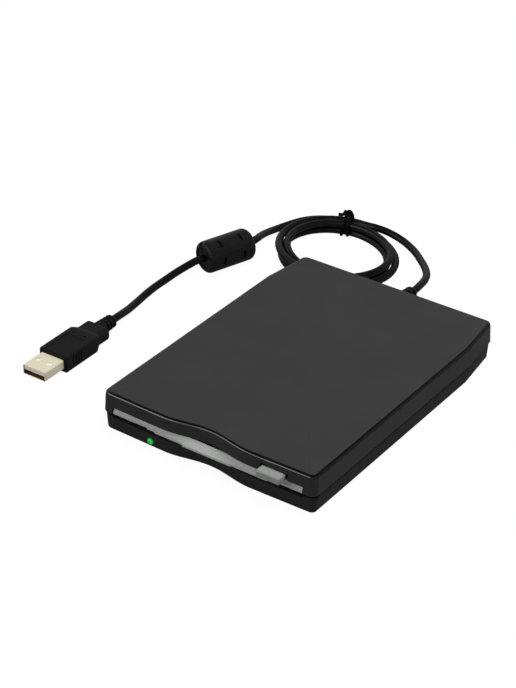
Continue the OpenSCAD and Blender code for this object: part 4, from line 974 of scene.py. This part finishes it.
@dataclass
class CordRoute:
    """The cord's way from the case through its coil and its ferrite to the plug, in millimetres."""

    diameter: float = 3.5
    turns: float = 2.95
    coil_middle: Pair = (-52.5, 105.0)
    coil_radius: float = 22.6
    squash: float = 1.8
    squash_at: float = 70.0
    coil_from: float = 95.0
    step: float = 3.98
    exit: Triple = (0.0, 85.85, 9.3)
    ferrite_mid: Triple = (-90.8, 70.2, 7.6)
    ferrite_way: Triple = (0.32, 0.947, 0.0)
    ferrite_length: float = 25.5
    plug_front: Triple = (-97.5, -45.35, 4.0)
    plug_turn: float = -0.5
    plug_length: float = 40.8
    cad_turn_steps: int = 24
    turn_steps: int = 56

    def radius_at(self, t: float, angle: float) -> float:
        """Returns the coil's radius after t turns, at an angle in degrees."""
        return (self.coil_radius - self.squash * math.cos(math.radians(2 * (angle - self.squash_at)))
                + self.step * abs(t - self.turns / 2))

    def coil_point(self, t: float) -> Vector:
        """Returns the cord's middle after t turns of the coil."""
        low = self.diameter / 2
        u = min(max((t - self.turns / 2) * 2 + 0.5, 0.0), 1.0)
        height = low + self.step - self.step * u * u * (3 - 2 * u)
        angle = self.coil_from + 360 * t
        radius = self.radius_at(t, angle)
        turn = math.radians(angle)
        return Vector((self.coil_middle[0] + radius * math.cos(turn),
                       self.coil_middle[1] + radius * math.sin(turn), height))

    def plug_way(self) -> Vector:
        """Returns the direction from the plug's front to its cord."""
        turn = math.radians(self.plug_turn)
        return Vector((math.sin(turn), math.cos(turn), 0.0))

    def plug_end(self) -> Vector:
        """Returns the point where the cord enters the plug's sleeve."""
        return Vector(self.plug_front) + self.plug_length * self.plug_way()

    def points(self) -> list[Vector]:
        """Returns the whole route, in millimetres, as one list of close points."""
        rings = math.floor(self.turns * self.cad_turn_steps)
        first, second = self.coil_point(0.0), self.coil_point(self.turns / rings)
        last, before = self.coil_point(self.turns), self.coil_point(self.turns * (rings - 1) / rings)
        way_in = (first - second).normalized()
        way_out = (last - before).normalized()
        start = first + self.diameter * way_in
        end = last + self.diameter * way_out
        along = Vector(self.ferrite_way).normalized()
        middle = Vector(self.ferrite_mid)
        ferrite_in = middle + self.ferrite_length / 2 * along
        ferrite_out = middle - self.ferrite_length / 2 * along
        lead = [Vector(p) for p in (
            self.exit, (0, 89.35, 9.3), (-0.4, 93, 9.1), (-1.7, 99.5, 8.3), (-4.8, 107, 6.8), (-10.2, 114.8, 5),
            (-16.9, 122.2, 3.4), (-23.8, 128.6, 2.6), (-31, 133, 2.6), (-37.5, 134.8, 3.4), (-43.5, 134.6, 4.6))]
        run = [Vector(p) for p in (
            (-59, 133.6, 1.8), (-65, 134.6, 1.8), (-70.5, 134.2, 1.8), (-76, 132.4, 1.8), (-80.8, 129, 1.8),
            (-84.6, 124.2, 1.8), (-87.4, 118, 1.8), (-89.2, 111.5, 2), (-90, 105, 2.8), (-89.2, 98.5, 4.4),
            (-87.7, 93, 6), (-86.3, 88.6, 7.2))]
        tail = [Vector(p) for p in (
            (-98.4, 49.2, 6), (-100.8, 44.4, 4), (-102.3, 38.8, 2.5), (-102.8, 32, 1.9), (-102.2, 24.5, 1.8),
            (-101, 16.5, 1.9), (-99.6, 9, 2.5), (-98.5, 3.4, 3.4))]
        way = self.plug_way()
        lead = rounded_route(lead + [start + 3 * way_in, start, first], 6)[:-1]
        count = round(self.turns * self.turn_steps)
        coil = [self.coil_point(self.turns * i / count) for i in range(count + 1)]
        rest = rounded_route([last, end, end + 4 * way_out] + run + [ferrite_in + 2 * along, ferrite_in, middle,
                             ferrite_out, ferrite_out - 3.5 * along] + tail
                             + [self.plug_end() + 3 * way, self.plug_end()], 6)[1:]
        return lead + coil + rest


@dataclass
class StrainRelief:
    """The ribbed sleeve in the rear wall."""

    wall_y: float = 72.85
    height: float = 9.3
    ribs: int = 5
    pitch: float = 2.85
    rib_width: float = 1.6

    def build(self, paint: PaintBox, ribbing: Pattern) -> bpy.types.Object:
        """Turns the sleeve with its flange and grows the ribs over it."""
        sleeve = lathed("cord_sleeve", [(CORD_BORE, -3.8), (4.05, -3.8), (4.2, -3.65), (4.2, -2.55), (4.05, -2.4),
                                        (2.8, -2.4), (2.8, 0.1), (3.5, 0.1), (2.6, 12.9), (2.5, 13.0),
                                        (CORD_BORE, 13.0)])
        ribbing.grow(sleeve, paint.get(CORD_PVC), Start=self.rib_width / 2, Count=self.ribs, Pitch=self.pitch,
                     First_Radius=4.2, Last_Radius=3.2, Rib_Width=self.rib_width)
        return moved(sleeve, shift(0.0, self.wall_y, self.height))


@dataclass
class FerriteShell:
    """The snap-on moulding round the ferrite: two halves with a parting line, latches and recessed ends."""

    route: CordRoute
    radius: float = 7.6
    rounding: float = 2.4
    pitch: float = 0.25
    steps: int = 192
    latches: tuple[Pair, ...] = ((-4.0, -5.6), (-4.0, 5.6), (65.0, -5.6), (65.0, 5.6))
    latch_half: Pair = (1.9, 0.72)
    end_notch: Pair = (113.0, 8.0)
    notch_depth: float = 1.2
    latch_depth: float = 1.0
    seam_angles: tuple[float, ...] = (32.0, 212.0)
    seam_depth: float = 0.12

    def build(self) -> bpy.types.Object:
        """Turns the shell and presses the latches and the parting line into it."""
        half = self.route.ferrite_length / 2
        end = [(CORD_BORE, -half + 0.5), (4.85, -half + 0.5), (5.0, -half + 0.06), (5.12, -half)]
        corner = self.radius - self.rounding
        end += [(corner + self.rounding * math.sin(math.radians(9 * k)),
                 -half + self.rounding - self.rounding * math.cos(math.radians(9 * k))) for k in range(1, 11)]
        flat = half - self.rounding
        rows = round(2 * flat / self.pitch)
        middle = [(self.radius, -flat + 2 * flat * k / rows) for k in range(1, rows)]
        profile = end + middle + [(r, -y) for r, y in reversed(end)]
        turns = [360 * k / self.steps for k in range(self.steps)]
        floor = self.notch_depth - half
        rings = []
        for radius, y in profile:
            ring = []
            for turn in turns:
                reach = radius - self._cut(turn, y, radius)
                angle = math.radians(turn)
                in_notch = y < floor and radius > 4.0 and abs(turn - self.end_notch[0]) < self.end_notch[1]
                ring.append((reach * math.cos(angle), max(y, floor) if in_notch else y,
                             reach * math.sin(angle)))
            rings.append(ring)
        shell = skinned("ferrite_shell", rings)
        across = math.atan2(-self.route.ferrite_way[0], self.route.ferrite_way[1])
        return moved(shell, shift(*self.route.ferrite_mid) @ Matrix.Rotation(across, 4, "Z"))

    def _cut(self, turn: float, y: float, radius: float) -> float:
        """Returns how deep the surface lies at an angle in degrees and a place along the shell."""
        if radius < self.radius - self.rounding / 2:
            return 0.0
        cut = 0.0
        for angle, place in self.latches:
            side = abs((turn - angle + 180) % 360 - 180) * math.pi / 180 * self.radius
            if side < self.latch_half[0] and abs(y - place) < self.latch_half[1]:
                cut = self.latch_depth
        for angle in self.seam_angles:
            if abs((turn - angle + 180) % 360 - 180) < 1.0:
                cut = max(cut, self.seam_depth)
        return cut


@dataclass
class PlugGrip:
    """The overmoulded grip of the plug, with its neck and ribbed sleeve."""

    route: CordRoute
    half_width: float = 7.5
    half_height: float = 4.0
    grip_length: float = 20.4
    taper_to: float = 24.2
    neck: Pair = (6.4, 3.2)
    length: float = 31.0
    corner: Pair = (0.9, 2.2)
    pitch: float = 0.25
    panel: Triple = (4.9, 2.7, 15.8)
    panel_depth: float = 0.4
    dots: tuple[Pair, ...] = ((-3.0, 17.95), (3.0, 17.95))
    dot_radius: float = 0.5
    dot_depth: float = 0.6
    thumb: tuple[float, ...] = (4.6, 6.4, 8.2, 10.0)
    thumb_half: Pair = (2.6, 0.4)
    thumb_depth: float = 0.35
    round_ends: Pair = (0.7, 0.9)

    def place(self) -> Matrix:
        """Returns the plug's place: its front's middle, turned with the cord."""
        return shift(*self.route.plug_front) @ Matrix.Rotation(math.radians(-self.route.plug_turn), 4, "Z")

    def build(self, paint: PaintBox, ribbing: Pattern) -> bpy.types.Object:
        """Lofts the grip and its neck, adds the collar and grows the sleeve's ribs."""
        rows = round(self.length / self.pitch)
        rings = [self._ring(y) for y in [0.0, 0.06, 0.14] + [self.pitch * k for k in range(1, rows)]
                 + [self.length - 0.14, self.length - 0.06, self.length]]
        grip = skinned("grip", rings)
        sleeve = lathed("sleeve", [(CORD_BORE, 30.9), (3.2, 30.9), (3.4, 31.1), (3.4, 33.4), (3.2, 33.6),
                                   (2.62, 33.6), (2.25, 40.7), (2.15, 40.8), (CORD_BORE, 40.8)])
        whole = joined("plug_grip", [grip, sleeve])
        ribbing.grow(whole, paint.get(PLUG_PVC), Start=35.15, Count=3, Pitch=2.15, First_Radius=3.35,
                     Last_Radius=3.15, Rib_Width=1.3)
        return moved(whole, self.place())

    def _ring(self, y: float) -> list[Triple]:
        """Returns the grip's outline at a distance from its front, with the recesses pressed in."""
        share = eased(y, self.grip_length, self.taper_to)
        near = min(y, self.length - y)
        round_end = self.round_ends[y >= self.grip_length]
        inset = round_end - math.sqrt(round_end ** 2 - (round_end - near) ** 2) if near < round_end else 0.0
        half_w = self.half_width + (self.neck[0] - self.half_width) * share - inset
        half_t = self.half_height + (self.neck[1] - self.half_height) * share - inset
        corner = self.corner[0] + (self.corner[1] - self.corner[0]) * share
        ring = []
        for x, z in box_ring(half_w, half_t, corner, 0.3):
            if z > half_t - 0.01 and abs(x) < self.panel[0] and self.panel[1] < y < self.panel[2]:
                z -= self.panel_depth
            if z > half_t - 0.01 and any(math.hypot(x - u, y - v) < self.dot_radius for u, v in self.dots):
                z -= self.dot_depth
            if (abs(x) > half_w - 0.01 and abs(z) < self.thumb_half[0]
                    and any(abs(y - at) < self.thumb_half[1] for at in self.thumb)):
                x -= math.copysign(self.thumb_depth, x)
            ring.append((x, y, z))
        return ring


@dataclass
class PlugCase:
    """The folded metal sleeve of the plug: rounded lip, latch holes in the upper and lower face."""

    half_width: float = 6.0
    half_height: float = 2.25
    corner: float = 0.55
    wall: float = 0.35
    front: float = -12.4
    back: float = 6.3
    holes: tuple[Pair, ...] = ((-4.4, -2.0), (2.0, 4.4))
    hole_y: Pair = (-6.6, -4.6)

    def build(self, paint: PaintBox, place: Matrix) -> bpy.types.Object:
        """Lofts the sleeve out and back in, cuts its holes and dresses its outside and its inside."""
        lip = [(0.0, 0.15), (0.06, 0.04), (0.175, 0.0), (0.29, 0.04), (0.35, 0.15)]
        stations = [(0.0, self.back)] + [(inset, self.front + y) for inset, y in lip] + [(self.wall, self.back)]
        rings = [[(x, y, z) for x, z in box_ring(self.half_width - inset, self.half_height - inset,
                                                 self.corner - 0.7 * inset, 1.0)] for inset, y in stations]
        case = skinned("plug_case", rings, hollow=True)
        reach = 2 * self.half_height
        cutters = [skinned(f"hole_{i}", [[(x, y, z) for x, z in ((low, -reach), (high, -reach), (high, reach),
                                                                 (low, reach))] for y in self.hole_y])
                   for i, (low, high) in enumerate(self.holes)]
        cutter = joined("holes", cutters)
        cut = case.modifiers.new("holes", "BOOLEAN")
        cut.object, cut.operation, cut.solver = cutter, "DIFFERENCE", "EXACT"
        flattened(case)
        bpy.data.objects.remove(cutter)
        case.data.set_sharp_from_angle(angle=math.radians(SHARP_FROM))
        paint.dress(case, SHELL_NICKEL, SHELL_INSIDE_PAINTED_SHADE_AND_REFLECTION)
        # Faces inside the sleeve take the brown copy of the metal: painted shade and a painted reflection of the
        # contacts
        inner_x, inner_z = (size - self.wall + 0.01 for size in (self.half_width, self.half_height))
        for face in case.data.polygons:
            middle = face.center / MM
            face.material_index = int(abs(middle.x) < inner_x and abs(middle.z) < inner_z)
        return moved(case, place)


@dataclass
class WireTie:
    """The coated wire that holds the coil: two wraps, a twisted knot and two short tails."""

    route: CordRoute
    angle: float = 112.5
    radius: float = 0.78
    inner: float = 21.5
    outer: float = 34.3
    top: float = 8.28
    low: float = 0.7
    knot: Pair = (8.7, 10.6)
    knot_turns: float = 1.0

    def spot(self, out: float, left: float, height: float) -> Vector:
        """Returns the point so far out from the coil's middle, to the left and up."""
        turn = math.radians(self.angle)
        return Vector((self.route.coil_middle[0] + out * math.cos(turn) - left * math.sin(turn),
                       self.route.coil_middle[1] + out * math.sin(turn) + left * math.cos(turn), height))

    def wrap(self, below: float, above: float) -> list[Vector]:
        """Returns one wrap, from the top over the inner side and round, at a place that drifts with height."""
        middle = (self.inner + self.outer) / 2
        low = self.route.diameter / 2
        ring = [(middle, self.top + 0.1), (self.inner + 1.6, self.top - 0.2), (self.inner + 0.1, self.top - 1.9),
                (self.inner - 0.2, low + 1.8), (self.inner + 0.5, self.low + 0.5), (self.inner + 3, self.low),
                (self.outer - 5, self.low), (self.outer - 1.4, self.low + 0.1), (self.outer, low + 0.7),
                (self.outer - 1.3, low + 2.8), (middle + 3, self.top - 1.1)]
        return [self.spot(out, below + (above - below) * height / self.top, height) for out, height in ring]

    def build(self) -> bpy.types.Object:
        """Bends the one wire: tail, knot, both wraps, knot and tail."""
        middle = (self.inner + self.outer) / 2
        steps = round(self.knot_turns * 8)

        def strand(phase: float) -> list[Vector]:
            """Returns one strand of the knot, upwards."""
            run = []
            for k in range(steps + 1):
                turn = phase + math.tau * self.knot_turns * k / steps
                height = self.knot[0] + (self.knot[1] - self.knot[0]) * k / steps
                run.append(self.spot(middle + 0.6 * math.cos(turn), 0.1 + 0.6 * math.sin(turn) + 0.25 * k / steps,
                                     height))
            return run

        first, second = strand(math.pi / 2), strand(-math.pi / 2)
        stub, tail = ([self.spot(middle - inward, left, height) for inward, left, height in end] for end in (
            ((0.4, 4.4, 9.0), (0.3, 3.0, 8.9), (0.4, 2.0, 9.2), (0.0, 1.2, 10.6)),
            ((0.2, -0.9, 11.2), (0.4, -2.0, 10.2), (0.8, -2.6, 8.9), (1.6, -2.8, 7.9))))
        route = stub + first[::-1] + self.wrap(2.0, 0.7) + self.wrap(-1.1, -1.3) + second + tail
        return wired("wire_tie", rounded_route(route, 4), self.radius)


@dataclass
class CordSet:
    """The one cord, from the case to the plug, with the mouldings and the tie that it carries."""

    route: CordRoute = field(default_factory=CordRoute)

    def build(self, frame: CadFrame, paint: PaintBox) -> None:
        ribbing = rib_pattern()
        grip = PlugGrip(self.route)
        fittings = {
            "strain_relief": (StrainRelief().build(paint, ribbing), CORD_PVC),
            "ferrite_housing": (FerriteShell(self.route).build(), FERRITE_ABS),
            "plug_body": (grip.build(paint, ribbing), PLUG_PVC),
            "twist_tie": (WireTie(self.route).build(), TIE_PE),
        }
        for node, (piece, finish) in fittings.items():
            paint.dress(piece, finish)
            frame.stand_in(piece, node)
        frame.stand_in(PlugCase().build(paint, grip.place()), "plug_shell")
        for node, finish in (("plug_tongue", TONGUE_PBT), ("plug_contacts", CONTACT_GOLD),
                             ("ferrite_core", CORE_FERRITE)):
            paint.dress(frame.nodes[node], finish)
        points = [p * MM for p in self.route.points()]
        cord = tube("usb_cord", [points], self.route.diameter / 2 * MM, 5)
        paint.dress(cord, CORD_PVC)
        frame.stand_in(cord, "cord_lead", "cord_coil", "cord_run", "cord_tail")


# ---------------------------------------------------------------- case


@dataclass(frozen=True)
class Screws:
    """Like screws of one node: their places, sizes in millimetres, and the tilt that turns them over."""

    name: str
    node: str
    places: tuple[Triple, ...]
    head_radius: float
    head_height: float
    length: float
    cross: float = 0.5
    shank: float = 0.75
    tilt: float = math.pi

    def build(self, frame: CadFrame, paint: PaintBox, screwing: Pattern) -> None:
        """Grows the screws on their places."""
        screws = points_object(self.name, self.places)
        screwing.grow(screws, paint.get(SCREW_STEEL), Head_Radius=self.head_radius, Head_Height=self.head_height,
                      Cross_Width=self.cross, Shank_Radius=self.shank, Length=self.length, Tilt=self.tilt)
        frame.stand_in(screws, self.node)


@dataclass
class Housing:
    """The two shells of the case, with their screws and feet."""

    edge_mm: float = 0.14
    edge_from: float = 17.08
    flat_normal: float = 0.998
    roof_area: float = 0.002
    roof_top: float = 18.4
    roof_border: float = 0.2
    roof_lines: tuple[tuple[float, ...], ...] = ((-49.8, -47.0, -20.0, 20.0, 47.0, 49.8),
                                                 (-66.6, -62.0, -45.0, 0.0, 66.0))
    seam: float = 9.3
    groove: Pair = (0.12, 1.15)
    groove_depth: float = 0.8
    wall_at: Triple = (46.5, -64.0, 71.0)
    screws: Screws = Screws("shell_screws", "case_screws", ((-42.0, 66.85, 1.0), (42.0, 66.85, 1.0)),
                            2.0, 1.5, 13.3, cross=0.6, shank=0.975, tilt=0.0)

    def build(self, frame: CadFrame, paint: PaintBox, screwing: Pattern) -> None:
        """Makes the shells with moulded edges and the hardware under them."""
        top = frame.softened("top_cover", "upper_shell", self.edge_mm, carve=self._frame_roof)
        paint.dress(top, COVER_ABS, EDGE_ABS_PAINTED_SHADE)
        # The rounded top edge takes the near-black copy of the plastic: painted shade along the edge
        for face in top.data.polygons:
            face.material_index = int(face.center.z > self.edge_from * MM and face.normal.z < self.flat_normal)
        frame.stand_in(top, "top_cover")
        base = frame.softened("bottom_cover", "lower_shell", self.edge_mm, carve=self._carve_seam)
        # The lower shell takes the slightly darker copy of the plastic as painted shade, and the near-black copy,
        # painted shade too, in its seam's gap
        paint.dress(base, BASE_ABS_PAINTED_SHADE, GAP_ABS_PAINTED_SHADE)
        frame.stand_in(base, "bottom_cover")
        paint.dress(frame.nodes["rubber_feet"], FOOT_RUBBER)
        self.screws.build(frame, paint, screwing)

    def _frame_roof(self, shell: bmesh.types.BMesh) -> None:
        """Runs a narrow border round the roof and cuts it into fields, so that it shades flat to its rounding."""
        roof = [face for face in shell.faces if face.normal.z > LEVEL and face.calc_area() > self.roof_area]
        for vert in {vert for face in roof for vert in face.verts}:
            vert.co.z = self.roof_top * MM
        whole = bmesh.ops.dissolve_faces(shell, faces=roof)["region"]
        bmesh.ops.inset_region(shell, faces=whole, thickness=self.roof_border * MM, depth=0.0, use_even_offset=True)
        for axis, places in enumerate(self.roof_lines):
            way = Vector([float(axis == k) for k in range(3)])
            for place in places:
                flat = [face for face in shell.faces if face.normal.z > LEVEL
                        and face.calc_center_median().z > (self.roof_top - 0.1) * MM]
                parts = {edge for face in flat for edge in face.edges} | {v for face in flat for v in face.verts}
                bmesh.ops.bisect_plane(shell, geom=flat + list(parts), dist=WELD, plane_co=way * place * MM,
                                       plane_no=way)

    def _carve_seam(self, shell: bmesh.types.BMesh) -> None:
        """Sinks a narrow band round the lower shell, just under the upper one, as its shadow line."""
        for below in self.groove:
            bmesh.ops.bisect_plane(shell, geom=shell.verts[:] + shell.edges[:] + shell.faces[:], dist=WELD,
                                   plane_co=(0.0, 0.0, (self.seam - below) * MM), plane_no=(0.0, 0.0, 1.0))
        shell.normal_update()
        band = [face for face in shell.faces if self._on_band(face)]
        sides = bmesh.ops.inset_region(shell, faces=band, thickness=0.0, depth=-self.groove_depth * MM,
                                       use_even_offset=True)["faces"]
        # The sunk band and its walls take the near-black copy of the plastic: painted shade in the gap
        for face in band + sides:
            face.material_index = 1

    def _on_band(self, face: bmesh.types.BMFace) -> bool:
        """Tells whether a face is part of the outer wall, within the band."""
        middle, normal = face.calc_center_median() / MM, face.normal
        side, front, back = self.wall_at
        low, high = self.seam - self.groove[1], self.seam - self.groove[0]
        outer = ((abs(middle.x) > side and normal.x * middle.x > 0) or (middle.y > back and normal.y > 0.3)
                 or (middle.y < front and normal.y < -0.3))
        return low < middle.z < high and outer and abs(normal.z) < 0.7


@dataclass
class FrontPanel:
    """What shows in the front: the flap of the slot, the eject button and the light."""

    edge_mm: float = 0.1
    lens_at: Pair = (-27.4, 3.55)
    lens_radius: float = 1.45
    tip_y: float = -68.95
    dome: float = 0.92

    def build(self, frame: CadFrame, paint: PaintBox) -> None:
        """Makes the flap and the button with fine edges, and the domed lens."""
        for node, name, finish in (("dust_door", "slot_flap", GREY_ABS), ("eject_button", "eject_key", BUTTON_ABS)):
            piece = frame.softened(node, name, self.edge_mm)
            paint.dress(piece, finish)
            frame.stand_in(piece, node)
        ball = (self.lens_radius ** 2 + self.dome ** 2) / (2 * self.dome)
        reach = math.asin(self.lens_radius / ball)
        cap = [(max(ball * math.sin(reach * k / 10), 0.01), self.tip_y + ball - ball * math.cos(reach * k / 10))
               for k in range(11)]
        lens = lathed("light_lens", cap + [(self.lens_radius, -65.95), (1.2, -65.95), (1.2, -61.15)], 48)
        moved(lens, shift(self.lens_at[0], 0.0, self.lens_at[1]))
        paint.dress(lens, LENS_PC)
        frame.stand_in(lens, "led_lens")
        paint.dress(frame.nodes["led"], LED_EPOXY)
        paint.dress(frame.nodes["door_spring"], SPRING_STEEL)


@dataclass
class DriveWorks:
    """Everything inside the case, as it shows when the flap or the shells are off."""

    finishes: dict[Finish, str] = field(default_factory=lambda: {
        SHEET_STEEL: "drive_chassis drive_shield slide_plate disk_holder rod_clamps screw_bracket",
        SPRING_STEEL: "lever_spring arm_spring",
        GROUND_STEEL: "spindle_rotor spindle_hub lever_pivot arm_pin guide_rod stepper_motor lead_screw",
        BEARING_BRONZE: "spindle_bearing", BOARD_GREEN: "main_board", BOARD_BLUE: "usb_board",
        CHIP_EPOXY: "board_parts usb_parts track_sensor switch_bodies",
        WINDING_COPPER: "motor_stator", CORE_FERRITE: "rotor_magnet",
        CREAM_NYLON: "shutter_lever ribbon_sockets", CARRIAGE_PPS: "head_carriage upper_arm",
        HEAD_CERAMIC: "lower_head upper_head", FLEX_FILM: "head_flex", RIBBON_FILM: "ribbon_cable",
        WIRE_PVC: "inner_wires", PLUNGER_POM: "write_protect_pin density_pin disk_in_pin",
    })
    spring_at: Triple = (30.0, -42.65, 13.7)
    spring_length: float = 17.0
    spring_closed: float = 12.0
    screws: tuple[Screws, ...] = (
        Screws("frame_screws", "drive_screws", tuple((x, y, 4.6) for x in (-43.5, 43.5) for y in (-56.15, 53.85)),
               1.8, 0.5, 1.6),
        Screws("board_screws", "usb_screws", ((-21.0, 66.85, 7.0), (31.0, 66.85, 7.0)), 1.7, 0.9, 3.2),
    )

    def build(self, frame: CadFrame, paint: PaintBox, screwing: Pattern) -> None:
        """Dresses every node of the works, and makes the springs and the small screws."""
        for finish, nodes in self.finishes.items():
            for node in nodes.split():
                paint.dress(frame.nodes[node], finish)
                log.info("%s in %s", node, finish.name)
        side, front, height = self.spring_at
        springs = points_object("eject_springs", [(-side, front, height), (side, front, height)])
        spring_pattern().grow(springs, paint.get(SPRING_STEEL), Turns=9.0, Coil_Radius=0.6, Wire_Radius=0.15,
                              Length=self.spring_length, Post_Radius=0.5, Post_Height=1.5)
        frame.stand_in(springs, "slide_springs")
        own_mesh(springs)
        for screws in self.screws:
            screws.build(frame, paint, screwing)


def main() -> None:
    """Builds the object, class by class."""
    logging.basicConfig(level=logging.INFO, format="%(name)s: %(message)s")
    frame = CadFrame()
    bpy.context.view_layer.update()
    paint = PaintBox()
    screwing = screw_pattern()
    Studio().build()
    CordSet().build(frame, paint)
    Housing().build(frame, paint, screwing)
    FrontPanel().build(frame, paint)
    DriveWorks().build(frame, paint, screwing)


if __name__ == "__main__":
    main()
